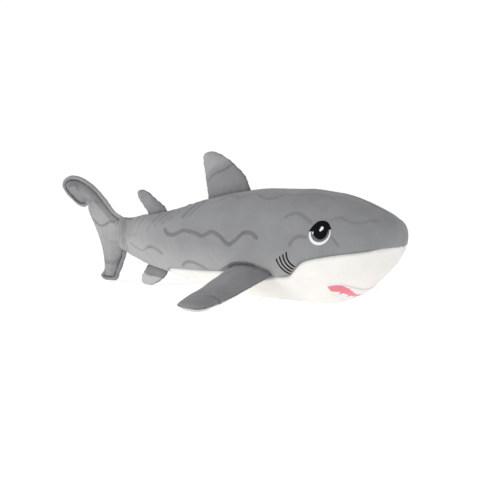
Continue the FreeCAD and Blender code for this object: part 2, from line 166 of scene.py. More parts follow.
# The embroidery of each side, as seen from it: (x, z).
EYE_CENTRE, EYE_HALF, EYE_LEAN = (165.3, 73.0), (10.8, 10.9), -5.0
IRIS_CENTRE, IRIS_HALF = (165.8, 73.9), (9.7, 9.5)
GILL_TOP, GILL_TOP_STEP = (118.5, 47.0), (4.1, 2.4)
GILL_LOW, GILL_LOW_STEP = (132.4, 32.2), (2.4, 2.5)
GILL_BULGE, GILL_COUNT = 3.1, 4
LID_AND_PUPIL = [
    (153.8, 74.2), (155.5, 78), (157.8, 81.4), (160.8, 84.3), (165.5, 85.4), (170.9, 83.8), (173.9, 80.4),
    (175.8, 77.5), (174.6, 76.8), (173.8, 73.9), (172.7, 70.1), (170.2, 67.6), (166.9, 66.7), (162.7, 68.1),
    (159.8, 70.5), (157.6, 73.6), (156, 75.6),
]
GLINT_LARGE = [
    (166, 81), (168.9, 80), (169.3, 76.8), (167.2, 74.9), (165.5, 73.6), (163.9, 74.8), (164.8, 78.2),
]
GLINT_SMALL, GLINT_SMALL_HALF = (158.9, 73.7), (1.15, 2.1)

# The mouth from below: (y, x) of each lip from the middle to the corner.
UPPER_LIP = [(0, 190.5), (12, 190), (23, 188), (33, 182.5), (38, 175), (40, 168.5)]
LOWER_LIP = [(0, 170), (12, 170), (23, 169.5), (33, 168.5), (40, 168)]
MOUTH_HALF, TEETH_HALF, TOOTH_WIDTH = 40.0, 36.0, 6.5
UPPER_TEETH = [(0, 0.35), (10, 0.32), (19, 0.22), (26, 0.12), (33, 0.05), (36, 0.03)]
LOWER_NOTCHES = (4.0, 15.4, 26.8)

# How each fabric looks on a screen: base, light and dark, then a printed colour and a paler one.
GREY_PLUSH = [(143, 144, 145), (150, 151, 152), (131, 132, 133)]
WHITE_PLUSH = [(236, 234, 230), (240, 238, 234), (228, 226, 221)]
# The printed colour is also painted shade, and the paler one partly painted light, wherever a piece's tone is
# set.
PRINT_AND_SHADE_COLOUR, PALE_COLOUR = (108, 105, 109), (188, 187, 186)
# Embroidery threads by slot: material, base colour, dark colour and what differs from plain satin.
# The dark colour is painted shade between the threads, and random fuzz.
THREADS = {
    "black_thread": ("black_thread", (7, 7, 8), (3, 3, 4), {"roughness": 0.7, "sheen": 0.0, "gloss": 0.12}),
    "white_thread": ("white_thread", (240, 242, 241), (214, 217, 217), {}),
    "iris_thread": ("iris_thread", (102, 112, 110), (70, 79, 78), {}),
    "pink_thread": ("pink_thread", (240, 136, 152), (212, 86, 110), {"slant": 0.35}),
    "lip_thread": ("lip_thread", (236, 226, 223), (218, 202, 199), {}),
    "dark_grey_thread": ("stitch_thread", (72, 72, 76), (42, 42, 46), {}),
}
THREAD_PITCH = 0.42

# The studio, in metres: the sky's strength low and overhead, the floor and the two panels of light
# (place, aim, size, power). Then the camera.
SKY_LOW, SKY_HIGH, FLOOR_GLOW, FLOOR_HALF = 1.04, 0.42, 0.5, 6.0
LIGHTS = {
    "key": ((-0.75, -1.5, 0.55), (0.0, 0, 0.07), 1.3, 10),
    "fill": ((1.2, -1.2, 0.5), (0.05, 0, 0.05), 1.2, 2.5),
}
CAMERA_TURN, CAMERA_RISE, CAMERA_DISTANCE, CAMERA_AIM = 36, 5, 1.2, (0.035, 0.0, 0.05)
CAMERA_LENS, CAMERA_SENSOR, CAMERA_SHIFT = 85.0, 36.0, 0.0146


def hermite(t, width, start, end, tangent_start, tangent_end):
    """The cubic between two values with given slopes, at a share t of the width between them."""
    return (
        start * (1 + 2 * t) * (1 - t) ** 2
        + tangent_start * width * t * (1 - t) ** 2
        + end * t * t * (3 - 2 * t)
        - tangent_end * width * t * t * (1 - t)
    )


def smooth_through(xs, ys):
    """A curve through points that never overshoots them, as a function of x."""
    xs, ys = np.asarray(xs, float), np.asarray(ys, float)
    steps = np.diff(xs)
    slopes = np.diff(ys) / steps
    tangents = np.zeros_like(ys)
    inner = slopes[:-1] * slopes[1:] > 0
    weight_a, weight_b = 2 * steps[1:] + steps[:-1], steps[1:] + 2 * steps[:-1]
    with np.errstate(divide="ignore", invalid="ignore"):
        mean = (weight_a + weight_b) / (weight_a / slopes[:-1] + weight_b / slopes[1:])
    tangents[1:-1] = np.where(inner, mean, 0)
    tangents[0], tangents[-1] = slopes[0], slopes[-1]

    def curve(x):
        x = np.clip(x, xs[0], xs[-1])
        index = np.clip(np.searchsorted(xs, x) - 1, 0, len(xs) - 2)
        width = steps[index]
        t = (x - xs[index]) / width
        return hermite(t, width, ys[index], ys[index + 1], tangents[index], tangents[index + 1])

    return curve


def run_lengths(line):
    """How far along a line of points each of them lies."""
    return np.concatenate([[0], np.cumsum(np.linalg.norm(np.diff(line, axis=0), axis=1))])


def smooth_line(points, spacing):
    """Evenly spaced points along a smooth open line through given points of any size."""
    points = np.asarray(points, float)
    reach = run_lengths(points)
    fine = np.linspace(0, reach[-1], max(8, int(reach[-1] / spacing * 4)))
    tangents = np.gradient(points, reach, axis=0)
    index = np.clip(np.searchsorted(reach, fine) - 1, 0, len(points) - 2)
    width = (reach[index + 1] - reach[index])[:, None]
    t = (fine - reach[index])[:, None] / width
    line = hermite(t, width, points[index], points[index + 1], tangents[index], tangents[index + 1])
    run = run_lengths(line)
    even = np.linspace(0, run[-1], max(2, int(round(run[-1] / spacing)) + 1))
    return np.stack([np.interp(even, run, line[:, k]) for k in range(points.shape[1])], axis=1)


def directions(vectors):
    """Each vector at length 1."""
    return vectors / np.maximum(np.linalg.norm(vectors, axis=-1, keepdims=True), 1e-9)


def facing(normals, outward):
    """Normals turned to agree with a rough outward direction."""
    return normals * np.where(np.sum(normals * outward, axis=-1, keepdims=True) < 0, -1, 1)


def bell(distance, width):
    """A soft bump that is 1 at no distance and fades over a width."""
    return np.exp(-((distance / width) ** 2))


def fade(value, low, high):
    """0 below low, 1 above high and smooth between."""
    t = np.clip((value - low) / (high - low), 0, 1)
    return t * t * (3 - 2 * t)


def lumps(points, size, seed):
    """Smooth noise between about -1 and 1, for points in millimetres, of lumps about that size."""
    shift = Vector((seed * 17.3, seed * 9.1, seed * 5.7))
    flat = points.reshape(-1, 3) / size
    return np.array([noise.noise(Vector(p) + shift) for p in flat]).reshape(points.shape[:-1]) * 1.6


along, centre, tall, wide = (np.array(column) for column in zip(*BODY_SECTIONS))
section_x = BODY_START + BODY_LENGTH * along / 100
body_centre = smooth_through(section_x, BODY_HEIGHT * centre / 100)
body_tall_squared = smooth_through(section_x, (BODY_HEIGHT * tall / 100) ** 2)
body_wide_squared = smooth_through(section_x, (BODY_WIDTH * wide / 100) ** 2)
seam_height = smooth_through(*zip(*SEAM_LINE))
BODY_BACK, BODY_NOSE = section_x[0], section_x[-1]


def body_point(x, angle):
    """A point of the skin: x along the body, angle round it from the top towards the left."""
    tall_here, wide_here = np.sqrt(body_tall_squared(x)), np.sqrt(body_wide_squared(x))
    z = body_centre(x) + tall_here * np.cos(angle)
    settled = 0.5 * (z + np.sqrt(z * z + 4.0)) - 0.25
    z = np.where(z < 6.0, np.minimum(settled, np.maximum(z, 0.0) + 0.8), z)
    return np.stack([x + 0 * angle, wide_here * np.sin(angle), np.maximum(z, 0.0)], axis=-1)


def body_normal(x, angle):
    """The direction straight out of the skin, the same for every panel."""
    step_x, step_angle = 0.4, 0.02
    forward = body_point(x + step_x, angle) - body_point(x - step_x, angle)
    round_it = body_point(x, angle + step_angle) - body_point(x, angle - step_angle)
    outward = np.stack([0.2 + 0 * x, np.sin(angle), np.cos(angle)], axis=-1)
    return facing(directions(np.cross(round_it, forward)), outward)


def seam_angle(x):
    """The angle at which the white belly's seam lies, at a place along the body."""
    cosine = (seam_height(x) - body_centre(x)) / np.sqrt(body_tall_squared(x))
    return np.arccos(np.clip(cosine, -1, 1))


def skin_point(x, z, side):
    """The point of the skin seen at (x, z) from that side."""
    cosine = np.clip((z - body_centre(x)) / np.sqrt(body_tall_squared(x)), -1, 1)
    return body_point(np.asarray(x, float), side * np.arccos(cosine))


def belly_point(x, y):
    """The point of the skin seen at (x, y) from below."""
    sine = np.clip(y / np.sqrt(body_wide_squared(x)), -1, 1)
    return body_point(np.asarray(x, float), np.pi - np.arcsin(sine))


def skin_normal(x, z, side):
    """The direction straight out of the skin at (x, z) on that side."""
    step = 0.5
    across = skin_point(x, z + step, side) - skin_point(x, z - step, side)
    forward = skin_point(x + step, z, side) - skin_point(x - step, z, side)
    return facing(directions(np.cross(forward, across)), np.array([0, side, 0]))


# ---------------------------------------------------------------- meshes and cloth

# How the cloth is blown up: pressure, the furthest a point may move, and how much the cloth grows.
BODY_SWELL, FIN_SWELL, TAIL_SWELL = (2.0, 2.4, 0.0), (2.5, 1.4, 0.015), (1.5, 1.2, 0.02)
CLOTH_FRAMES = 20


def grid_faces(rows, columns, closed=False):
    """The four-sided faces of a grid of points, closed round its columns if asked."""
    wrap = columns if closed else columns - 1
    row, column = np.meshgrid(np.arange(rows - 1), np.arange(wrap), indexing="ij")
    after = (column + 1) % columns
    here, there = row * columns, (row + 1) * columns
    corners = (here + column, here + after, there + after, there + column)
    return np.stack([corner.ravel() for corner in corners], axis=1).tolist()


def capped_faces(rows, columns):
    """The faces of a grid closed round its columns, with a cap over its first and last rows."""
    first, last = list(range(columns)), [(rows - 1) * columns + k for k in range(columns)]
    return grid_faces(rows, columns, closed=True) + [first, last[::-1]]


def make_mesh(name, points, faces, attributes=None):
    """A smooth mesh object in the scene, with its resting place and other values stored on its points."""
    flat = points.reshape(-1, 3)
    mesh = bpy.data.meshes.new(name)
    mesh.from_pydata((flat * SCALE).tolist(), [], faces)
    mesh.validate()
    mesh.update()
    mesh.polygons.foreach_set("use_smooth", [True] * len(mesh.polygons))
    place = mesh.attributes.new("place", "FLOAT_VECTOR", "POINT")
    place.data.foreach_set("vector", flat.astype(np.float32).ravel())
    for key, values in (attributes or {}).items():
        attribute = mesh.attributes.new(key, "FLOAT", "POINT")
        attribute.data.foreach_set("value", np.asarray(values, np.float32).ravel())
    piece = bpy.data.objects.new(name, mesh)
    bpy.context.scene.collection.objects.link(piece)
    return piece


def swell(name, points, faces, pins, pressure, limit, growth):
    """Blows a closed skin up as cloth: how far each point moves, none further than a limit."""
    skin = make_mesh(name, points, faces)
    group = skin.vertex_groups.new(name="sewn")
    for index, weight in enumerate(pins.ravel()):
        group.add([index], float(weight), "REPLACE")
    cloth = skin.modifiers.new("cloth", "CLOTH")
    settings = cloth.settings
    settings.quality = 6
    settings.mass = 0.2
    settings.tension_stiffness = settings.compression_stiffness = settings.shear_stiffness = 15
    settings.bending_stiffness = 0.3
    settings.use_pressure = True
    settings.uniform_pressure_force = pressure
    settings.shrink_min = -growth
    settings.effector_weights.gravity = 0
    settings.vertex_group_mass = "sewn"
    cloth.point_cache.frame_end = CLOTH_FRAMES
    for step in range(1, CLOTH_FRAMES + 1):
        bpy.context.scene.frame_set(step)
    settled = skin.evaluated_get(bpy.context.evaluated_depsgraph_get()).to_mesh()
    moved = np.empty(len(settled.vertices) * 3, np.float32)
    settled.vertices.foreach_get("co", moved)
    bpy.context.scene.frame_set(1)
    bpy.data.objects.remove(skin)
    shift = moved.reshape(points.shape).astype(float) / SCALE - points
    length = np.linalg.norm(shift, axis=-1, keepdims=True)
    return shift * np.minimum(1, limit / np.maximum(length, 1e-6))


def relaxed(shift, rounds):
    """A grid of shifts, closed round its columns, evened out with its neighbours."""
    for _ in range(rounds):
        round_it = (np.roll(shift, 1, axis=1) + np.roll(shift, -1, axis=1)) / 2
        shift = 0.5 * shift + 0.5 * round_it
        along_it = shift.copy()
        along_it[1:-1] = (shift[:-2] + shift[2:]) / 2
        shift = 0.5 * shift + 0.5 * along_it
    return shift


def spread(shift, rows, columns, closed=False):
    """A coarse grid of shifts read smoothly at fractional rows and columns."""
    if closed:
        shift = np.concatenate([shift, shift[:, :1]], axis=1)
    rows = np.clip(rows, 0, shift.shape[0] - 1.0001)
    columns = np.clip(columns, 0, shift.shape[1] - 1.0001)
    row, column = rows.astype(int), columns.astype(int)
    a, b = fade(rows - row, 0, 1)[..., None], fade(columns - column, 0, 1)[..., None]
    return (
        shift[row, column] * (1 - a) * (1 - b)
        + shift[row + 1, column] * a * (1 - b)
        + shift[row, column + 1] * (1 - a) * b
        + shift[row + 1, column + 1] * a * b
    )


def grid_normals(points, outward):
    """Unit normals of a grid of points, turned to agree with a rough outward direction."""
    return facing(directions(np.cross(np.gradient(points, axis=0), np.gradient(points, axis=1))), outward)


def nearest(points, line):
    """Distance from each point to a line of closely spaced points."""
    flat = points.reshape(-1, points.shape[-1])
    best = np.full(len(flat), 1e9)
    for spot in line:
        best = np.minimum(best, np.sum((flat - spot) ** 2, axis=1))
    return np.sqrt(best).reshape(points.shape[:-1])


# ---------------------------------------------------------------- the body's panels


def seam_distances(x, angle):
    """The distances round the skin to the side seam and the top one."""
    folded = np.abs(np.where(angle > np.pi, 2 * np.pi - angle, angle))
    radius = np.sqrt(body_wide_squared(x))
    return (folded - seam_angle(x)) * radius, folded * radius


class BodySwell:
    """How the stuffing pushes the body's fabric out between its seams."""

    rows, columns = 80, 64
    start_inset = 0.5

    def __init__(self):
        self.x = BODY_BACK + (BODY_NOSE - BODY_BACK) * (1 - (1 - np.linspace(0, 0.985, self.rows)) ** 1.3)
        self.angle = np.linspace(0, 2 * np.pi, self.columns, endpoint=False)
        self.shift = np.zeros((self.rows, self.columns, 3))
        x, angle = np.meshgrid(self.x, self.angle, indexing="ij")
        seam, top = seam_distances(x, angle)
        pins = np.clip(bell(seam, 5) + 0.8 * bell(top, 5), 0, 1)
        smooth = body_point(x, angle)
        pins = np.maximum(pins, (smooth[..., 2] < 1.5) * 1.0)
        pins[:2], pins[-3:] = 1, 1
        inset = body_normal(x, angle) * (self.start_inset * (1 - pins))[..., None]
        points = smooth - inset
        faces = capped_faces(self.rows, self.columns)
        self.shift = relaxed(swell("body_swell", points, faces, pins, *BODY_SWELL) - inset, 2)

    def at(self, x, angle):
        rows = np.interp(x, self.x, np.arange(self.rows))
        columns = np.mod(angle, 2 * np.pi) / (2 * np.pi) * self.columns
        return spread(self.shift, rows, columns, closed=True)


# Creases: (x, z) start, (x, z) end, width, depth. Behind the dorsal fin, over the waist and by the fins.
FOLDS = [
    ((-6, 99), (-17, 83), 2.0, 2.6),
    ((2, 98), (-5, 85), 2.2, 1.5),
    ((-24, 95), (-37, 80), 2.2, 2.6),
    ((-33, 91), (-48, 75), 2.4, 1.9),
    ((-48, 87), (-60, 71), 2.2, 2.0),
    ((-57, 86), (-66, 74), 2.0, 1.2),
    ((-62, 84), (-72, 66), 2.2, 1.4),
    ((-60, 28), (-70, 40), 2.8, 1.1),
    ((-86, 78), (-93, 60), 2.0, 1.4),
    ((-97, 77), (-101, 58), 1.8, 1.5),
    ((-106, 74), (-108, 56), 1.6, 1.4),
    ((40, 36), (30, 46), 3.5, 0.8),
    ((106, 33), (118, 38), 3.5, 0.5),
]
GATHER_PLACE, GATHER_WIDTH, GATHER_SPACING, GATHER_DEPTH = -119.5, 8.5, 4.0, 2.4
# How deep each seam pulls the fabric in: along the side, its puckers, along the back and round each fin.
SEAM_TUCK, SEAM_PUCKER, SPINE_TUCK, FIN_TUCK = 1.1, 0.4, 0.8, 1.3


def tail_gathers(points, angle):
    """Pleats where the body is drawn in to the tail: narrow valleys between broad ridges."""
    x = points[..., 0]
    zone = bell(x - GATHER_PLACE, GATHER_WIDTH) * (0.35 + 0.65 * np.abs(np.sin(angle)) ** 0.7)
    zone *= np.clip(0.75 + 0.5 * lumps(points, 8, 8), 0.2, 1.2)
    drift = 1.4 * np.sin(2 * angle) + 3.2 * lumps(points, 16, 5)
    wave = np.sin(2 * np.pi * (x + drift) / GATHER_SPACING)
    return -GATHER_DEPTH * zone * (0.5 - 0.5 * wave) ** 2.2


def side_folds(points):
    """The creases of FOLDS, on whichever side each point is."""
    flat = points[..., [0, 2]]
    total = np.zeros(points.shape[:-1])
    for start, end, width, depth in FOLDS:
        line = smooth_line([start, end], 1.0)
        distance = nearest(flat, line)
        total += depth * (0.45 * bell(distance, width * 2.4) - bell(distance, width))
    return total


def body_relief(points, x, angle, base_distance):
    """How far the skin stands in or out: seams, puckers, lumps and folds, in millimetres."""
    seam, top = seam_distances(x, angle)
    present = fade(x, BELLY_START - 6, BELLY_START + 2)
    pucker = 0.5 + 0.5 * np.sin(x / 1.25 + 2.5 * lumps(points, 14, 2))
    relief = -(SEAM_TUCK + SEAM_PUCKER * pucker) * bell(seam, 1.5) * present
    relief -= 0.3 * pucker * bell(seam, 6.0) * present * lumps(points, 5, 3)
    relief -= SPINE_TUCK * bell(top, 1.2) * fade(x, BODY_BACK, BODY_BACK + 8) * (1 - 0.7 * fade(x, 195, 218))
    relief -= FIN_TUCK * bell(base_distance, 1.8)
    puckers = (0.5 + 0.5 * np.sin(1.5 * (points[..., 0] + 2 * lumps(points, 9, 6)))) ** 2
    relief -= 0.6 * puckers * bell(base_distance, 6) * fade(points[..., 2], 70, 80)
    relief += 0.35 * lumps(points, 34, 1) + 0.16 * lumps(points, 11, 4)
    relief += tail_gathers(points, angle) + side_folds(points)
    relief *= fade(points[..., 2], 0.0, 3.0)
    return relief * (0.25 + 0.75 * fade(BODY_NOSE - x, 0, 6))


def ink(flat, bands):
    """Signed distance outside the nearest printed band and that band's strength, for flat points."""
    outside = np.full(flat.shape[:-1], 20.0)
    strength = np.zeros(flat.shape[:-1])
    for half, weight, line in bands:
        distance = nearest(flat, smooth_line(line, 0.8)) - half
        closer = distance < outside
        outside = np.where(closer, distance, outside)
        strength = np.where(closer, weight, strength)
    return outside, strength


def body_ink(points):
    """The printed bands of the flanks and the wavy line along the back."""
    outside, strength = ink(points[..., [0, 2]], BANDS)
    from_above = np.stack([points[..., 0], np.abs(points[..., 1])], axis=-1)
    wave, faint = ink(from_above, [(BACK_WAVE_HALF, BACK_WAVE_STRENGTH, BACK_WAVE)])
    closer = (points[..., 2] > body_centre(points[..., 0]) + 20) & (wave < outside)
    return np.where(closer, wave, outside), np.where(closer, faint, strength)


def body_tone(points):
    """Paler plush over the waist, paler low on the flanks as painted light, and darker along the top of the
    back as painted shade.
    """
    x, z = points[..., 0], points[..., 2]
    waist = 0.3 * bell(x + 90, 45) * (1 - fade(z, 62, 84))
    low_flank = 0.28 * (1 - fade(z, 36, 60)) * (1 - fade(x, 120, 150))
    return 0.22 * fade(z, 92, 112) * fade(x, 0, 60) - np.minimum(waist + low_flank, 0.45)


def body_panel(name, x_line, across, angle_of, stuffing, roots, printed):
    """One sewn panel of the body: a grid of points over (x, angle) with its relief."""
    x, share = np.meshgrid(x_line, across, indexing="ij")
    angle = angle_of(x, share)
    smooth = body_point(x, angle)
    normal = body_normal(x, angle)
    base_distance = np.minimum(nearest(smooth, roots), 30)
    relief = body_relief(smooth, x, angle, base_distance)
    points = smooth + stuffing.at(x, angle) + normal * relief[..., None]
    points[..., 2] = np.maximum(points[..., 2], 0.0)
    seam, top = seam_distances(x, angle)
    # Painted shade: the colour darkens along the seams, round the fins' roots and in creases and pleats,
    # faded near the nose.
    near_seam = np.where(x > BELLY_START - 8, np.abs(seam), 30)
    calm = fade(x, BODY_NOSE - 18, BODY_NOSE - 5)
    sewn = np.minimum(near_seam, top + 0.6) + 8 * calm
    hollow_shade = np.clip(-relief, 0, 3) * (1 - calm) + 2.0 * bell(base_distance, 3.5)
    hollow_shade += 0.45 * np.clip(-tail_gathers(smooth, angle), 0, 2)
    values = {"sewn": np.minimum(sewn, 0.7 * base_distance), "hollow_shade": hollow_shade}
    if printed:
        values["band"], values["ink"] = body_ink(smooth)
        values["tone_and_shade"] = body_tone(smooth)
    return make_mesh(name, points, grid_faces(len(x_line), len(across)), values)


def make_body(stuffing, roots):
    """The two grey back panels and the white belly panel."""
    gathered = np.linspace(BODY_BACK, -104, 60)[:-1]
    rings = np.concatenate([gathered, -104 + (BODY_NOSE + 104) * (1 - (1 - np.linspace(0, 1, 300)) ** 1.35)])
    across = np.linspace(0, 1, 100)
    panels = {}
    for side, sign in SIDES.items():
        def angle_of(x, share):
            return sign * seam_angle(x) * share
        piece = body_panel(f"back_fabric_{side}", rings, across, angle_of, stuffing, roots, True)
        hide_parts(f"back_panel_{side}")
        panels[f"back_{side}"] = piece

    def belly_angle(x, share):
        return seam_angle(x) + (2 * np.pi - 2 * seam_angle(x)) * share
    t = np.linspace(0, 1, 260)
    rings = BELLY_START + (BELLY_END - BELLY_START) * (0.35 * t + 0.65 * (1 - np.cos(np.pi * t)) / 2)
    piece = body_panel("belly_fabric", rings, across, belly_angle, stuffing, roots, False)
    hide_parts("belly_panel", "body_stuffing")
    panels["belly"] = piece
    return panels


class Skin:
    """The finished surface of the body, for embroidery to lie on."""

    def __init__(self, pieces):
        vertices, faces = [], []
        for piece in pieces:
            first = len(vertices)
            vertices += [vertex.co / SCALE for vertex in piece.data.vertices]
            faces += [[first + k for k in polygon.vertices] for polygon in piece.data.polygons]
        self.tree = BVHTree.FromPolygons(vertices, faces)

    def lay(self, points, normals):
        """Moves rough points along their normals on to the surface."""
        reach = 12.0
        laid = points.copy().reshape(-1, 3)
        for index, (point, normal) in enumerate(zip(laid.copy(), normals.reshape(-1, 3))):
            hit = self.tree.ray_cast(Vector(point + normal * reach), Vector(-normal), 2 * reach)[0]
            if hit is not None:
                laid[index] = hit
        return laid.reshape(points.shape)

    def side(self, sign):
        """Places a side view's points on that side's skin."""
        def place(x, z):
            normal = skin_normal(x, z, sign)
            return self.lay(skin_point(x, z, sign), normal), normal
        return place

    def below(self, x, y):
        """Places a view from below on the belly's skin."""
        step = 0.5
        forward = belly_point(x + step, y) - belly_point(x - step, y)
        aside = belly_point(x, y + step) - belly_point(x, y - step)
        normal = facing(directions(np.cross(forward, aside)), np.array([0, 0, -1]))
        return self.lay(belly_point(x, y), normal), normal


# ---------------------------------------------------------------- the stuffed fins


class Fin:
    """A fin of two panels: its outline, its place and its two sides as grids."""

    swell_rows, swell_columns = 30, 40

    def __init__(self, rows, sizes, origin, chord_axis, span_axis):
        span, chord, thickness = sizes
        along, drift, half_chord, half_thick = (np.array(column, float) for column in zip(*rows))
        reach = span * along / 100
        self.low, self.high = reach[0], reach[-1]
        self.chord = chord
        self.drift = smooth_through(reach, -chord * drift / 100)
        self.half_chord_squared = smooth_through(reach, (chord * half_chord / 100) ** 2)
        self.half_thick_squared = smooth_through(reach, (thickness * half_thick / 100) ** 2)
        self.origin = np.array(origin, float)
        self.chord_axis = np.array(chord_axis, float)
        self.span_axis = np.array(span_axis, float)
        self.side_axis = np.cross(self.span_axis, self.chord_axis)

    def local(self, reach, angle):
        """A point in the fin's own frame: angle 0 is the leading edge and half a turn the trailing one."""
        half_chord = np.sqrt(self.half_chord_squared(reach))
        half_thick = np.sqrt(self.half_thick_squared(reach))
        flat = np.sign(np.sin(angle)) * np.abs(np.sin(angle)) ** 1.25
        return np.stack([self.drift(reach) + half_chord * np.cos(angle), half_thick * flat, reach], axis=-1)

    def placed(self, local):
        """Points of the fin's own frame in the toy's frame."""
        return (
            self.origin
            + local[..., 0:1] * self.chord_axis
            + local[..., 1:2] * self.side_axis
            + local[..., 2:3] * self.span_axis
        )

    def reaches(self, count):
        """Places along the span, closer together towards the tip."""
        return self.low + (self.high - self.low) * (1 - (1 - np.linspace(0, 1, count)) ** 1.5)

    def root_ring(self):
        """Points where the fin's surface passes through the body's."""
        turn = np.linspace(0, 2 * np.pi, 72, endpoint=False)
        reach, angle = np.meshgrid(np.linspace(self.low, self.high * 0.35, 60), turn, indexing="ij")
        points = self.placed(self.local(reach, angle))
        x, y, z = points[..., 0], points[..., 1], points[..., 2]
        depth = y**2 / body_wide_squared(x) + (z - body_centre(x)) ** 2 / body_tall_squared(x) - 1
        crossing = np.argmin(np.abs(depth), axis=0)
        return points[crossing, np.arange(len(turn))]

    def swollen(self, name):
        """The cloth's shifts over a coarse closed grid of the fin."""
        rows, columns = self.swell_rows, self.swell_columns
        turn = np.arange(columns) * 2 * np.pi / columns
        reach, angle = np.meshgrid(self.reaches(rows), turn, indexing="ij")
        local = self.local(reach, angle)
        faces = capped_faces(rows, columns)
        pins = np.clip(bell(np.abs(np.sin(angle)), 0.25) * 0.97 + (reach < 3), 0, 1)
        pins[-2:] = 1
        return relaxed(swell(name, local, faces, pins, *FIN_SWELL), 1)


def make_fin(name, fin, panel_names, seed, blend_depth):
    """Both panels of a fin, sewn along its edge and rooted in the body's seam."""
    shift = fin.swollen(f"{name}_swell")
    rows, columns = 110, 72
    ring = fin.root_ring()
    made = []
    for half, nodes in enumerate(panel_names):
        reach, turn = np.meshgrid(fin.reaches(rows), np.linspace(0, 1, columns), indexing="ij")
        angle = np.pi * (turn + half)
        local = fin.local(reach, angle)
        row_place = np.interp(reach, fin.reaches(fin.swell_rows), np.arange(fin.swell_rows))
        column_place = np.mod(angle / (2 * np.pi) * fin.swell_columns, fin.swell_columns)
        local = local + spread(shift, row_place, column_place, closed=True)
        normal = grid_normals(local, np.stack([0 * reach, np.sin(angle) + 1e-6, 0 * reach], axis=-1))
        edge = np.minimum(turn, 1 - turn) * np.pi * np.sqrt(fin.half_chord_squared(reach))
        tip = fin.high - reach
        root = nearest(fin.placed(local), ring)
        pucker = 0.5 + 0.5 * np.sin(reach / 1.1 + 2 * lumps(local, 9, seed))
        relief = -(0.45 + 0.3 * pucker) * bell(edge, 1.2) - 0.15 * pucker * bell(edge, 4.5)
        relief += 0.22 * lumps(local, 15, seed + 1) + 0.1 * lumps(local, 6, seed + 2)
        gather = (0.5 + 0.5 * np.sin(local[..., 0] / 1.3 + 2.2 * lumps(local, 10, seed + 3))) ** 2
        relief -= 0.55 * gather * bell(root, 6.0)
        relief *= fade(tip, 0, 2)
        points = fin.placed(local + normal * relief[..., None])
        outside, strength = fin_ink(name, local, fin)
        # Painted shade: the colour darkens along the edge, at the tip, round the root and in the puckers.
        values = {
            "sewn": np.minimum(np.minimum(edge, tip + 4), np.minimum(root, 30)),
            "hollow_shade": np.clip(-relief, 0, 3),
            "band": outside,
            "ink": strength,
            "tone_and_shade": fin_tone(name, local, fin),
        }
        panel = nodes[0].split("_")[-1]
        piece = make_mesh(f"{name}_fabric_{panel}", points, grid_faces(rows, columns), values)
        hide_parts(*nodes)
        start = fin.origin + fin.span_axis * -1.0
        end = fin.origin + fin.span_axis * blend_depth
        made.append((piece, name, start, end))
    return made


def fin_line(name, local, fin):
    """How far above its printed band each point of a fin lies, in millimetres."""
    forward = local[..., 0] / fin.chord
    wave = 0.9 * np.sin(local[..., 0] / 4.2 + 0.8)
    heights = {"dorsal_fin": 0.53 + 0.36 * forward, "anal_fin": 0.44 + 0.12 * forward}
    height = heights.get(name, 0.79 - 0.16 * forward)
    return local[..., 2] - height * fin.high + wave


def fin_ink(name, local, fin):
    """The printed band that crosses each fin but the rear one."""
    if name == "rear_dorsal_fin":
        return np.full(local.shape[:-1], 20.0), np.zeros(local.shape[:-1])
    strengths = {"dorsal_fin": 0.75, "anal_fin": 0.55}
    return np.abs(fin_line(name, local, fin)) - 1.4, np.full(local.shape[:-1], strengths.get(name, 0.8))


def fin_tone(name, local, fin):
    """How much darker, or paler if below nought, the plush is over each fin. The darkening near each fin's
    root is painted shade where it meets the body; the anal fin's darker part by the body is partly painted
    shade from it.
    """
    beyond = fade(fin_line(name, local, fin), -1.5, 1.5)
    if name == "anal_fin":
        return 0.25 - 1.05 * beyond
    if name == "dorsal_fin":
        return 0.25 - 0.5 * beyond * fade(fin_line(name, local, fin), 0, 12) + 0.2 * bell(local[..., 2], 9)
    if name.startswith("pectoral"):
        return 0.2 + 0.25 * bell(local[..., 2], 16) + 0.15 * beyond
    return 0.25 * bell(local[..., 2], 9)


def sloped(degrees):
    """The chord direction of a fin on the centre line, and the direction straight off the back."""
    slope = math.radians(degrees)
    return np.array([math.cos(slope), 0, math.sin(slope)]), np.array([-math.sin(slope), 0, math.cos(slope)])


def plan_fins():
    """The five fins: name, shape, the nodes that each panel stands for, seed and blend depth."""
    plans = []
    for name, (rows, sizes, root, slope, way, seed, blend_depth) in CENTRE_FINS.items():
        chord, span = sloped(slope)
        first, second = ("left", "right") if way > 0 else ("right", "left")
        nodes = [(f"{name}_panel_{first}", f"{name}_stuffing"), (f"{name}_panel_{second}",)]
        plans.append((name, Fin(rows, sizes, root, chord, way * span), nodes, seed, blend_depth))
    droop, toe = math.radians(PECTORAL_DROOP), math.radians(PECTORAL_TOE_IN)
    root_x, root_y, root_z = PECTORAL_ROOT
    for side, sign in SIDES.items():
        chord = directions(np.array([math.cos(toe), sign * math.sin(toe), PECTORAL_PITCH]))
        span = np.array([0, sign * math.cos(droop), -math.sin(droop)])
        span = directions(span - chord * np.dot(span, chord))
        fin = Fin(PECTORAL_ROWS, PECTORAL_SIZES, (root_x, sign * root_y, root_z), chord, span)
        name = f"pectoral_fin_{side}"
        nodes = [(f"{name}_panel_top", f"{name}_stuffing"), (f"{name}_panel_bottom",)]
        if fin.side_axis[2] < 0:
            nodes.reverse()
        plans.append((name, fin, nodes, 41 + sign, PECTORAL_BLEND))
    return plans


def make_fins(plans):
    """The panels of all five fins."""
    made = []
    for name, fin, nodes, seed, blend_depth in plans:
        made += make_fin(name, fin, nodes, seed, blend_depth)
    return made


# ---------------------------------------------------------------- the tail fin


def tail_outline(spacing):
    """The closed outline of the tail fin's fabric in the side view, evenly spaced."""
    runs = [smooth_line(run, spacing) for run in (TAIL_UPPER, TAIL_HOLLOW, TAIL_LOWER)]
    root = smooth_line([TAIL_LOWER[-1], *TAIL_ROOT_INSIDE, TAIL_UPPER[0]], spacing)
    return np.concatenate([run[:-1] for run in (*runs, root)])


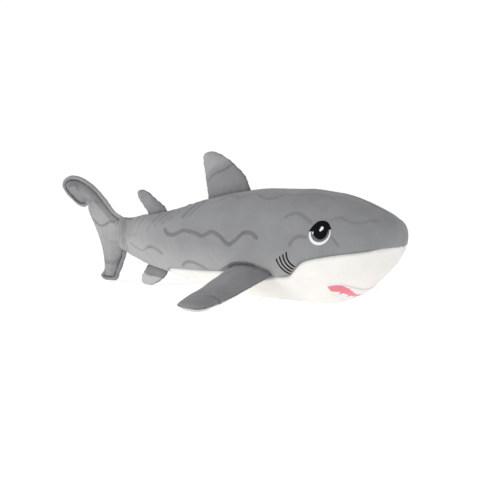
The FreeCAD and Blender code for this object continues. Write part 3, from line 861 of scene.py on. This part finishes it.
def inside(points, outline):
    """Whether each point of the side view lies inside a closed outline."""
    crossings = np.zeros(len(points), int)
    for start, end in zip(outline, np.roll(outline, -1, axis=0)):
        spans = (start[1] > points[:, 1]) != (end[1] > points[:, 1])
        rise = end[1] - start[1] if end[1] != start[1] else 1e-9
        cut = start[0] + (points[:, 1] - start[1]) * (end[0] - start[0]) / rise
        crossings += spans & (points[:, 0] < cut)
    return crossings % 2 == 1


def tail_sheet(spacing):
    """Points filling the tail fin's outline, with triangles: first the outline's, then the inner ones."""
    outline = tail_outline(spacing)
    low, high = outline.min(axis=0), outline.max(axis=0)
    rows = np.arange(low[1], high[1], spacing * 0.87)
    inner = [
        (x + spacing * 0.5 * (row % 2), z)
        for row, z in enumerate(rows)
        for x in np.arange(low[0], high[0], spacing)
    ]
    inner = np.array(inner)
    inner = inner[inside(inner, outline)]
    inner = inner[nearest(inner, smooth_closed(outline, spacing / 2)) > spacing * 0.6]
    points = np.concatenate([outline, inner])
    count = len(outline)
    edges = [(k, (k + 1) % count) for k in range(count)]
    made = delaunay_2d_cdt([Vector(p) for p in points], edges, [list(range(count))], 1, 1e-4)
    return np.array([tuple(p) for p in made[0]]), [list(face) for face in made[2]], outline


def smooth_closed(outline, spacing):
    """The outline's own runs, divided more finely."""
    pieces = []
    for start, end in zip(outline, np.roll(outline, -1, axis=0)):
        steps = max(1, int(np.linalg.norm(end - start) / spacing))
        pieces.append(start + (end - start) * np.arange(steps)[:, None] / steps)
    return np.concatenate(pieces)


def tail_thickness(flat, outline):
    """Half the tail fin's thickness at points of the side view: a border dome, a tuck and the pad inside."""
    edge = nearest(flat, smooth_closed(outline, 0.8))
    stitch = np.full(len(flat), 30.0)
    for line in STITCH_ROWS.values():
        stitch = np.minimum(stitch, nearest(flat, smooth_line(line, 0.7)))
    fuller = 1 + 0.25 * fade(flat[:, 0], -150, -128)
    plain = TAIL_PUFF * (1 - np.exp(-edge / 5.0)) * fuller
    middle = STITCH_INSET / 2
    border = BORDER_PUFF * np.sqrt(np.clip(1 - ((edge - middle) / (middle + 0.2)) ** 2, 0.02, 1))
    pad = 0.7 + TAIL_PUFF * (1 - np.exp(-np.maximum(edge - STITCH_INSET, 0) / 5.0)) * fuller
    bordered = np.where(edge < STITCH_INSET, border, pad)
    share = 1 - fade(stitch, 5.0, 7.5)
    return (plain * (1 - share) + bordered * share) * (1 - np.exp(-edge / 0.5)), edge, stitch


def make_tail():
    """The two panels of the tail fin, blown up as one cloth skin between the stitches."""
    flat, faces, outline = tail_sheet(1.3)
    half, edge, stitch = tail_thickness(flat, outline)
    count = len(flat)
    both = np.concatenate([
        np.stack([flat[:, 0], -half, flat[:, 1]], axis=1),
        np.stack([flat[:, 0], half, flat[:, 1]], axis=1),
    ])
    shift = np.zeros_like(both)
    welded, skin_faces, index = weld_halves(both, faces, edge < 0.05)
    pins = np.clip(bell(np.minimum(edge, stitch), 2.6) + fade(flat[:, 0], -142, -134), 0, 1)
    pins = np.concatenate([pins, pins])
    skin_pins = np.zeros(len(welded))
    skin_pins[index] = pins
    shift = swell("tail_swell", welded, skin_faces, skin_pins, *TAIL_SWELL)[index]
    outside, strength = ink(flat, TAIL_MARKS)
    made = []
    for number, (side, sign) in enumerate(SIDES.items()):
        rows = slice(number * count, (number + 1) * count)
        points = both[rows] + shift[rows]
        relief = 0.22 * lumps(points, 13, 51) + 0.12 * lumps(points, 5, 52)
        pucker = np.sin((flat[:, 0] - flat[:, 1]) / 1.15 + 2 * lumps(points, 9, 53))
        relief += 0.2 * pucker * bell(stitch, 3.2) + 0.5 * tail_root_folds(flat)
        points[:, 1] += sign * relief * fade(edge, 0, 2.5)
        points[:, 1] = sign * np.maximum(sign * points[:, 1], 0)
        turned = faces if sign < 0 else [face[::-1] for face in faces]
        # Painted shade: the colour darkens by the edge, along the stitches and in the puckers and folds.
        sewn = np.minimum(np.minimum(edge + 0.8, stitch * 0.8), 30)
        hollow_shade = np.clip(-relief, 0, 3) + 1.6 * bell(stitch, 1.4)
        tone_and_shade = tail_tone(flat, edge, stitch)
        values = {"band": outside, "ink": strength, "sewn": sewn, "hollow_shade": hollow_shade, "tone_and_shade": tone_and_shade}
        piece = make_mesh(f"tail_fabric_{side}", points, turned, values)
        nodes = [f"tail_panel_{side}"] + (["tail_stuffing"] if sign > 0 else [])
        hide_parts(*nodes)
        made.append(piece)
        made += make_topstitch(side, sign, points, flat)
    return made


def tail_tone(flat, edge, stitch):
    """Paler plush over the tail's middle and its border, and darker along the inside of its stitches as
    painted shade.
    """
    x, z = flat[:, 0], flat[:, 1]
    middle = bell(np.hypot(x + 158, 0.8 * (z - 62)), 30)
    shade = 0.3 * bell(stitch - 3.5, 4) * fade(z, 60, 80) * (edge > STITCH_INSET)
    border = 0.3 * (edge < STITCH_INSET) * bell(stitch - 3, 3) * fade(z, 50, 70)
    return 0.12 * fade(z, 84, 96) + shade - border - 0.42 * middle


def weld_halves(both, faces, on_edge):
    """One closed skin from two halves that share their outline: points, faces, where each point went."""
    count = len(on_edge)
    index = np.arange(2 * count)
    index[count:][on_edge] = np.arange(count)[on_edge]
    kept = np.unique(index)
    place = np.zeros(2 * count, int)
    place[kept] = np.arange(len(kept))
    index = place[index]
    skin = [[int(index[k]) for k in face] for face in faces]
    skin += [[int(index[count + k]) for k in face[::-1]] for face in faces]
    return both[kept], skin, index


def tail_root_folds(flat):
    """Short folds that run back from where the tail is sewn on."""
    zone = fade(flat[:, 0], -158, -134)
    return zone * np.sin(flat[:, 1] / 2.6 + 0.05 * (flat[:, 0] + 134) + 1.2 * np.sin(flat[:, 1] / 9))


def make_topstitch(side, sign, points, flat):
    """Rows of separate stitches of dark thread round the tail's border."""
    made = []
    for row, path in STITCH_ROWS.items():
        line = smooth_line(path, 0.2)
        step = int(round((STITCH_LENGTH + STITCH_GAP) / 0.2))
        length = int(round(STITCH_LENGTH / 0.2))
        vertices, faces = [], []
        for start in range(0, len(line) - length, step):
            run = line[start : start + length + 1 : max(1, length // 5)]
            depth = np.array([points[np.argmin(np.sum((flat - spot) ** 2, axis=1)), 1] for spot in run])
            dip = np.cos(np.linspace(-math.pi / 2, math.pi / 2, len(run)))
            path_3d = np.stack([run[:, 0], np.median(depth) + sign * (0.1 + 0.35 * dip), run[:, 1]], axis=1)
            add_tube(vertices, faces, path_3d, THREAD * (0.55 + 0.45 * dip))
        piece = make_mesh(f"tail_stitches_{row}_{side}", np.array(vertices), faces)
        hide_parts(f"tail_topstitch_{row}_{side}")
        made.append(piece)
    return made


def add_tube(vertices, faces, path, radii, corners=8):
    """Adds a closed tube along a path of points to a list of vertices and faces."""
    first = len(vertices)
    tangents = np.gradient(path, axis=0)
    for spot, tangent, radius in zip(path, tangents, radii):
        forward = directions(tangent)
        aside = directions(np.cross(forward, [0.31, 0.2, 0.93]))
        up = np.cross(forward, aside)
        for k in range(corners):
            turn = 2 * math.pi * k / corners
            vertices.append(spot + radius * (math.cos(turn) * aside + math.sin(turn) * up))
    rings = len(path)
    faces += [[first + k for k in face] for face in grid_faces(rings, corners, closed=True)]
    faces.append([first + k for k in range(corners)][::-1])
    faces.append([first + (rings - 1) * corners + k for k in range(corners)])


# ---------------------------------------------------------------- embroidery


def patch(name, outline, lift, place_on_skin, nodes, rings=14):
    """A raised patch of thread over the skin, from a closed outline in a flat view.

    Its edge is rounded down to the skin and its middle stands lift above it.
    """
    middle = outline.mean(axis=0)
    shares = np.sin(np.linspace(0, 1, rings) * math.pi / 2)
    flat = middle + (outline - middle)[None] * shares[:, None, None]
    skin, normal = place_on_skin(flat[..., 0], flat[..., 1])
    edge = (1 - shares) * np.min(np.linalg.norm(outline - middle, axis=1))
    height = lift * np.sqrt(np.clip(edge / 0.9, 0, 1)) - 0.35 * (edge <= 0) + 0.12 * (1 - shares**2)
    points = skin + normal * height[:, None, None]
    piece = make_mesh(name, points, grid_faces(rings, len(outline), closed=True), stitch_values(flat))
    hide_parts(*nodes)
    return piece


def stitch_values(flat):
    """Two directions on a patch, for the thread's pattern."""
    return {"across": flat[..., 0], "down": flat[..., 1]}


def ellipse(centre, halves, lean, count=64):
    """A closed outline in a flat view, its upright axis leaning forward by some degrees."""
    turn = np.linspace(0, 2 * np.pi, count, endpoint=False)
    tilt = math.radians(lean)
    a, b = halves[0] * np.cos(turn), halves[1] * np.sin(turn)
    x = centre[0] + a * math.cos(tilt) + b * math.sin(tilt)
    return np.stack([x, centre[1] - a * math.sin(tilt) + b * math.cos(tilt)], axis=1)


def closed_line(points, spacing):
    """An evenly divided outline through given points."""
    return smooth_line([*points, points[0]], spacing)[:-1]


def make_eyes(skin):
    """White, iris, black lid and pupil, and two glints, layer on layer on each side."""
    made = []
    for side, sign in SIDES.items():
        layers = (
            ("white", ellipse(EYE_CENTRE, EYE_HALF, EYE_LEAN), 0.45),
            ("iris", ellipse(IRIS_CENTRE, IRIS_HALF, EYE_LEAN), 0.6),
            ("pupil", closed_line(LID_AND_PUPIL, 0.8), 0.8),
            ("glint_large", closed_line(GLINT_LARGE, 0.5), 0.95),
            ("glint_small", ellipse(GLINT_SMALL, GLINT_SMALL_HALF, EYE_LEAN, 24), 0.95),
        )
        for name, outline, lift in layers:
            piece = patch(f"eye_{name}_{side}_thread", outline, lift, skin.side(sign), [f"eye_{name}_{side}"])
            made.append((name, piece))
    return made


def thread_line(name, line, half_width, height, place):
    """A raised line of satin stitch along a flat view's line, rounded across and at its ends."""
    forward = directions(np.gradient(line, axis=0))
    aside = np.stack([-forward[:, 1], forward[:, 0]], axis=1)
    reach = run_lengths(line)
    ends = np.sqrt(np.clip(np.minimum(reach, reach[-1] - reach) / half_width, 0, 1))
    across = np.linspace(-1, 1, 9)
    reaches_out = across[None, :, None] * half_width * (0.25 + 0.75 * ends)[:, None, None]
    flat = line[:, None] + aside[:, None] * reaches_out
    skin, normal = place(flat[..., 0], flat[..., 1])
    arch = np.sqrt(np.clip(1 - across**2, 0, 1))[None] * (0.3 + 0.7 * ends)[:, None]
    points = skin + normal * (height * arch - 0.2)[..., None]
    values = {"across": reach[:, None] + 0 * across, "down": across[None] * half_width + 0 * reach[:, None]}
    return make_mesh(name, points, grid_faces(len(line), len(across)), values)


def make_gills(skin):
    """Four curved lines of satin stitch behind each cheek."""
    made = []
    for side, sign in SIDES.items():
        for index in range(GILL_COUNT):
            top = np.array(GILL_TOP) + index * np.array(GILL_TOP_STEP)
            low = np.array(GILL_LOW) + index * np.array(GILL_LOW_STEP)
            along_line = (low - top) / np.linalg.norm(low - top)
            across = np.array([along_line[1], -along_line[0]])
            bulge = across * GILL_BULGE * -np.sign(across[0])
            t = np.linspace(0, 1, 40)[:, None]
            line = top * (1 - t) + low * t + bulge * 4 * t * (1 - t)
            piece = thread_line(f"gill_{side}_{index + 1}", line, 0.9, 0.8, skin.side(sign))
            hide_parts(f"gill_stitch_{side}_{index + 1}")
            made.append(piece)
    return made


def mouth_points(y, share):
    """Points from below: y across, and the share of the way from the upper lip to the lower one."""
    upper, lower = smooth_through(*zip(*UPPER_LIP)), smooth_through(*zip(*LOWER_LIP))
    x = upper(np.abs(y)) * (1 - share) + lower(np.abs(y)) * share
    return np.stack([x, y + 0 * share], axis=-1)


def mouth_patch(name, y, start, end, height, node, skin, rows=14):
    """A patch between two shares of the mouth, over places y across it."""
    t = np.linspace(0, 1, rows)[:, None]
    flat = mouth_points(y[None] + 0 * t, start * (1 - t) + end * t)
    base, normal = skin.below(flat[..., 0], flat[..., 1])
    rim = 0.25 * (2 * t - 1) ** 8
    points = base + normal * (height - rim)[..., None]
    piece = make_mesh(name, points, grid_faces(*flat.shape[:2]), stitch_values(flat))
    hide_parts(node)
    return piece


def make_mouth(skin):
    """The pink lining, two rows of teeth and the thread round the mouth, under the snout."""
    across = MOUTH_HALF * np.sin(np.linspace(-1, 1, 121) * math.pi / 2)
    lining = mouth_patch("mouth_pink", across, 0.0, 1.0, 0.45, "mouth_lining", skin)
    across = np.linspace(-TEETH_HALF, TEETH_HALF, 241)
    scallops = 0.05 * np.abs(np.sin(np.pi * across / TOOTH_WIDTH))
    end = smooth_through(*zip(*UPPER_TEETH))(np.abs(across))
    end = end + scallops * (1 - fade(np.abs(across), 26, TEETH_HALF))
    upper = mouth_patch("mouth_teeth_top", across, 0.02, end, 0.75, "mouth_teeth_upper", skin)
    notches = sum(bell(np.abs(across) - place, 1.1) for place in LOWER_NOTCHES)
    start = 0.55 + 0.22 * notches + 0.4 * fade(np.abs(across), 27, TEETH_HALF)
    lower = mouth_patch("mouth_teeth_low", across, start, 0.97, 0.75, "mouth_teeth_lower", skin)
    across = MOUTH_HALF * np.sin(np.linspace(-1, 1, 100) * math.pi / 2)
    ring = np.concatenate([mouth_points(across, 0.0), mouth_points(across[::-1], 1.0)[1:-1]])
    edge = thread_line("mouth_edge", closed_line(ring, 0.9), 0.6, 0.7, skin.below)
    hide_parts("mouth_outline")
    return lining, upper, lower, edge


# ---------------------------------------------------------------- materials


def colour(red, green, blue):
    """A colour given as it looks on a screen, from 0 to 255, in linear light."""
    linear = [((c / 255 + 0.055) / 1.055) ** 2.4 if c > 10 else c / 255 / 12.92 for c in (red, green, blue)]
    return (*linear, 1.0)


class Tree:
    """A material's nodes, made and joined in one call each."""

    def __init__(self, name):
        self.material = bpy.data.materials.new(name)
        self.material.use_nodes = True
        self.nodes = self.material.node_tree.nodes
        self.links = self.material.node_tree.links
        self.shader = self.nodes["Principled BSDF"]

    def put(self, socket, value):
        if isinstance(value, bpy.types.NodeSocket):
            self.links.new(value, socket)
        elif value is not None:
            socket.default_value = value

    def add(self, kind, inputs=None, output=0, **settings):
        made = self.nodes.new(kind)
        for key, value in settings.items():
            setattr(made, key, value)
        for key, value in (inputs or {}).items():
            self.put(made.inputs[key], value)
        return made.outputs[output]

    def attribute(self, name, vector=False):
        made = self.nodes.new("ShaderNodeAttribute")
        made.attribute_name = name
        return made.outputs["Vector" if vector else "Fac"]

    def math(self, operation, a, b=0.0, clamp=False):
        return self.add("ShaderNodeMath", {0: a, 1: b}, operation=operation, use_clamp=clamp)

    def noise(self, vector, scale, detail=3.0, rough=0.55):
        inputs = {"Vector": vector, "Scale": scale, "Detail": detail, "Roughness": rough}
        return self.add("ShaderNodeTexNoise", inputs)

    def stretched(self, vector, scale):
        return self.add("ShaderNodeVectorMath", {0: vector, 1: scale}, operation="MULTIPLY")

    def mix(self, factor, a, b):
        made = self.nodes.new("ShaderNodeMix")
        made.data_type = "RGBA"
        self.put(made.inputs[0], factor)
        self.put(made.inputs[6], a)
        self.put(made.inputs[7], b)
        return made.outputs[2]

    def ramp(self, value, low, high, out_low=0.0, out_high=1.0):
        return self.add(
            "ShaderNodeMapRange",
            {"Value": value, "From Min": low, "From Max": high, "To Min": out_low, "To Max": out_high},
            interpolation_type="LINEAR",
        )

    def bump(self, height, distance, strength=1.0, normal=None):
        inputs = {"Height": height, "Distance": distance, "Strength": strength, "Normal": normal}
        return self.add("ShaderNodeBump", inputs)


def plush(name, base, light, dark, print_and_shade_colour, pale, sheen=0.3):
    """Short-pile velour: brushed tufts, a nap, soft mottling, painted shade in seams and hollows, printed
    bands.
    """
    tree = Tree(name)
    place = tree.attribute("place", vector=True)
    tufts = tree.noise(place, 1.6, 4.0, 0.65)
    fibres = tree.noise(tree.stretched(place, (2.2, 5.0, 5.0)), 1.0, 3.0, 0.7)
    nap = tree.noise(tree.stretched(place, (0.06, 0.22, 0.22)), 1.0, 3.0, 0.6)
    clouds = tree.noise(place, 0.05, 2.0, 0.5)
    shade = tree.mix(tree.ramp(clouds, 0.3, 0.7), dark, light)
    shade = tree.mix(tree.ramp(nap, 0.3, 0.7, 0.3, 0.75), shade, base)
    shade = tree.mix(tree.ramp(tufts, 0.4, 0.68, 0.0, 0.3), shade, tree.mix(0.8, shade, dark))
    brushed = tree.noise(tree.stretched(place, (0.55, 0.16, 0.16)), 1.0, 4.0, 0.7)
    shade = tree.mix(tree.ramp(brushed, 0.35, 0.7, 0.0, 0.4), shade, dark)
    # Tone, partly painted light and shade: darker towards the printed colour, paler towards pale.
    tone_and_shade = tree.attribute("tone_and_shade")
    shade = tree.mix(tree.ramp(tone_and_shade, 0.0, 1.0), shade, print_and_shade_colour)
    shade = tree.mix(tree.ramp(tree.math("MULTIPLY", tone_and_shade, -1.0), 0.0, 1.0), shade, pale)
    wobble = tree.math("MULTIPLY", tree.math("SUBTRACT", tree.noise(place, 0.45, 3.0), 0.5), 1.5)
    distance = tree.math("ADD", tree.attribute("band"), wobble)
    worn = tree.ramp(tree.noise(place, 0.35, 2.0), 0.35, 0.65, 0.75, 1.1)
    printed = tree.math("MULTIPLY", tree.ramp(distance, -0.7, 0.6, 1.0, 0.0), tree.attribute("ink"))
    printed = tree.math("MULTIPLY", printed, worn, clamp=True)
    shade = tree.mix(printed, shade, print_and_shade_colour)
    # Painted shade: near-black is mixed in along the seams and in the hollows.
    seam = tree.ramp(tree.attribute("sewn"), 0.2, 3.0, 0.4, 0.0)
    hollow_shade = tree.ramp(tree.attribute("hollow_shade"), 0.2, 2.2, 0.0, 0.5)
    shaded = tree.mix(0.6, shade, (0.02, 0.02, 0.022, 1))
    shade = tree.mix(tree.math("ADD", seam, hollow_shade, clamp=True), shade, shaded)
    tree.put(tree.shader.inputs["Base Color"], shade)
    tree.put(tree.shader.inputs["Roughness"], tree.ramp(tufts, 0.3, 0.7, 0.82, 0.98))
    tree.shader.inputs["Specular IOR Level"].default_value = 0.15
    tree.shader.inputs["Sheen Weight"].default_value = sheen
    tree.shader.inputs["Sheen Roughness"].default_value = 0.45
    tree.shader.inputs["Sheen Tint"].default_value = (0.95, 0.95, 1.0, 1.0)
    normal = tree.bump(clouds, 0.0012, 0.5)
    normal = tree.bump(nap, 0.0006, 0.5, normal)
    normal = tree.bump(tree.math("ADD", tufts, fibres), 0.00035, 0.8, normal)
    tree.put(tree.shader.inputs["Normal"], normal)
    return tree.material


def satin(name, base, dark, slant=0.0, roughness=0.42, sheen=0.2, gloss=0.4):
    """Satin-stitch embroidery: close parallel threads with a silky gloss."""
    tree = Tree(name)
    across, down = tree.attribute("across"), tree.attribute("down")
    place = tree.attribute("place", vector=True)
    wander = tree.math("MULTIPLY", tree.noise(place, 0.9, 2.0), 0.8)
    line = tree.math("ADD", tree.math("ADD", across, tree.math("MULTIPLY", down, slant)), wander)
    threads = tree.math("SINE", tree.math("MULTIPLY", line, 2 * math.pi / THREAD_PITCH))
    ridges = tree.ramp(threads, -1.0, 1.0)
    fuzz = tree.noise(place, 3.0, 3.0)
    # Painted shade: the grooves between the threads are darkened; random fuzz darkens too.
    shade = tree.mix(tree.ramp(ridges, 0.0, 1.0, 0.45, 0.0), base, dark)
    shade = tree.mix(tree.ramp(fuzz, 0.35, 0.7, 0.0, 0.25), shade, dark)
    tree.put(tree.shader.inputs["Base Color"], shade)
    tree.put(tree.shader.inputs["Roughness"], tree.ramp(fuzz, 0.3, 0.7, roughness - 0.06, roughness + 0.12))
    tree.shader.inputs["Specular IOR Level"].default_value = gloss
    tree.shader.inputs["Sheen Weight"].default_value = sheen
    tree.shader.inputs["Sheen Roughness"].default_value = 0.35
    tree.put(tree.shader.inputs["Normal"], tree.bump(ridges, 0.00012, 0.9, tree.bump(fuzz, 0.0001, 0.5)))
    return tree.material


def make_fabrics():
    """Every fabric and thread, by the record's slot it is the finish of."""
    band, pale = colour(*PRINT_AND_SHADE_COLOUR), colour(*PALE_COLOUR)
    grey, white = ([colour(*shade) for shade in shades] for shades in (GREY_PLUSH, WHITE_PLUSH))
    fabrics = {
        "grey_plush": plush("grey_velour", *grey, band, pale),
        "white_plush": plush("white_velour", *white, band, pale, sheen=0.15),
    }
    for slot, (name, base, dark, differences) in THREADS.items():
        fabrics[slot] = satin(name, colour(*base), colour(*dark), **differences)
    return fabrics


# ---------------------------------------------------------------- the scene


def make_camera():
    """A short telephoto lens to the front right of the toy, a little above it."""
    azimuth, elevation = math.radians(CAMERA_TURN), math.radians(CAMERA_RISE)
    flat = math.cos(elevation)
    back = Vector((math.sin(azimuth) * flat, -math.cos(azimuth) * flat, math.sin(elevation)))
    data = bpy.data.cameras.new("camera")
    data.lens, data.sensor_width, data.shift_y = CAMERA_LENS, CAMERA_SENSOR, CAMERA_SHIFT
    camera = bpy.data.objects.new("camera", data)
    camera.location = Vector(CAMERA_AIM) + back * CAMERA_DISTANCE
    camera.rotation_mode = "QUATERNION"
    camera.rotation_quaternion = (-back).to_track_quat("-Z", "Y")
    bpy.context.scene.collection.objects.link(camera)
    bpy.context.scene.camera = camera


def area_light(name, place, aim, size, power):
    """A large soft panel of light."""
    data = bpy.data.lights.new(name, "AREA")
    data.shape, data.size, data.energy = "DISK", size, power
    light = bpy.data.objects.new(name, data)
    light.location = place
    light.rotation_mode = "QUATERNION"
    light.rotation_quaternion = (Vector(aim) - Vector(place)).to_track_quat("-Z", "Y")
    bpy.context.scene.collection.objects.link(light)


def make_studio():
    """A pale lit floor, a pale sky that is dimmer overhead and two soft panels of light in front."""
    mesh = bpy.data.meshes.new("floor")
    corners = [(FLOOR_HALF * x, FLOOR_HALF * y, 0) for x, y in ((-1, -1), (1, -1), (1, 1), (-1, 1))]
    mesh.from_pydata(corners, [], [(0, 1, 2, 3)])
    floor = bpy.data.objects.new("floor", mesh)
    bpy.context.scene.collection.objects.link(floor)
    tree = Tree("floor_paper")
    grain = tree.noise(tree.add("ShaderNodeTexCoord", output=3), 90.0, 3.0)
    tree.put(tree.shader.inputs["Base Color"], tree.mix(grain, (0.86, 0.86, 0.86, 1), (0.9, 0.9, 0.9, 1)))
    tree.shader.inputs["Roughness"].default_value = 0.9
    tree.shader.inputs["Emission Color"].default_value = (1.0, 1.0, 1.0, 1.0)
    tree.shader.inputs["Emission Strength"].default_value = FLOOR_GLOW
    mesh.materials.append(tree.material)
    world = bpy.data.worlds.new("studio")
    world.use_nodes = True
    nodes, links = world.node_tree.nodes, world.node_tree.links
    height, sky = nodes.new("ShaderNodeSeparateXYZ"), nodes.new("ShaderNodeMapRange")
    links.new(nodes.new("ShaderNodeTexCoord").outputs["Generated"], height.inputs[0])
    links.new(height.outputs["Z"], sky.inputs["Value"])
    for key, value in {"From Min": 0.15, "From Max": 0.8, "To Min": SKY_LOW, "To Max": SKY_HIGH}.items():
        sky.inputs[key].default_value = value
    links.new(sky.outputs[0], nodes["Background"].inputs["Strength"])
    nodes["Background"].inputs["Color"].default_value = (1.0, 1.0, 1.0, 1.0)
    bpy.context.scene.world = world
    for name, settings in LIGHTS.items():
        area_light(name, *settings)
    bpy.context.scene.view_settings.view_transform = "Standard"


def dress_toy(fabrics, body, fins, tail, eyes, gills, mouth):
    """Puts on each piece the fabric or thread of the record's slot it stands for."""
    slots = [(body[f"back_{side}"], "grey_plush") for side in SIDES]
    slots.append((body["belly"], "white_plush"))
    for piece, *_ in fins:
        bottom = "pectoral" in piece.name and piece.name.endswith("bottom")
        slots.append((piece, "white_plush" if bottom else "grey_plush"))
    slots += [(piece, "dark_grey_thread" if "stitches" in piece.name else "grey_plush") for piece in tail]
    thread_of = {"iris": "iris_thread", "pupil": "black_thread"}
    slots += [(piece, thread_of.get(kind, "white_thread")) for kind, piece in eyes]
    slots += [(piece, "black_thread") for piece in gills]
    slots += zip(mouth, ("pink_thread", "white_thread", "white_thread", "lip_thread"))
    for piece, slot in slots:
        piece.data.materials.clear()
        piece.data.materials.append(fabrics[slot])


def join_bodies(body, fins, tail, eyes, gills, mouth):
    """Attaches the belly and the embroidery to the body and bakes the other pieces' placement into their
    meshes.
    """
    for piece in [body["back_right"], body["back_left"], *tail]:
        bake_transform(piece)
    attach(body["belly"], "body")
    for piece, fin_body, start, end in fins:
        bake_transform(piece)
    for piece in [piece for _, piece in eyes] + gills + list(mouth):
        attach(piece, "body")


make_camera()
make_studio()
fins_planned = plan_fins()
fin_roots = np.concatenate([fin.root_ring() for _, fin, *_ in fins_planned])
body_pieces = make_body(BodySwell(), fin_roots)
fin_pieces = make_fins(fins_planned)
tail_pieces = make_tail()
body_skin = Skin(body_pieces.values())
eye_pieces, gill_pieces, mouth_pieces = make_eyes(body_skin), make_gills(body_skin), make_mouth(body_skin)
dress_toy(make_fabrics(), body_pieces, fin_pieces, tail_pieces, eye_pieces, gill_pieces, mouth_pieces)
join_bodies(body_pieces, fin_pieces, tail_pieces, eye_pieces, gill_pieces, mouth_pieces)
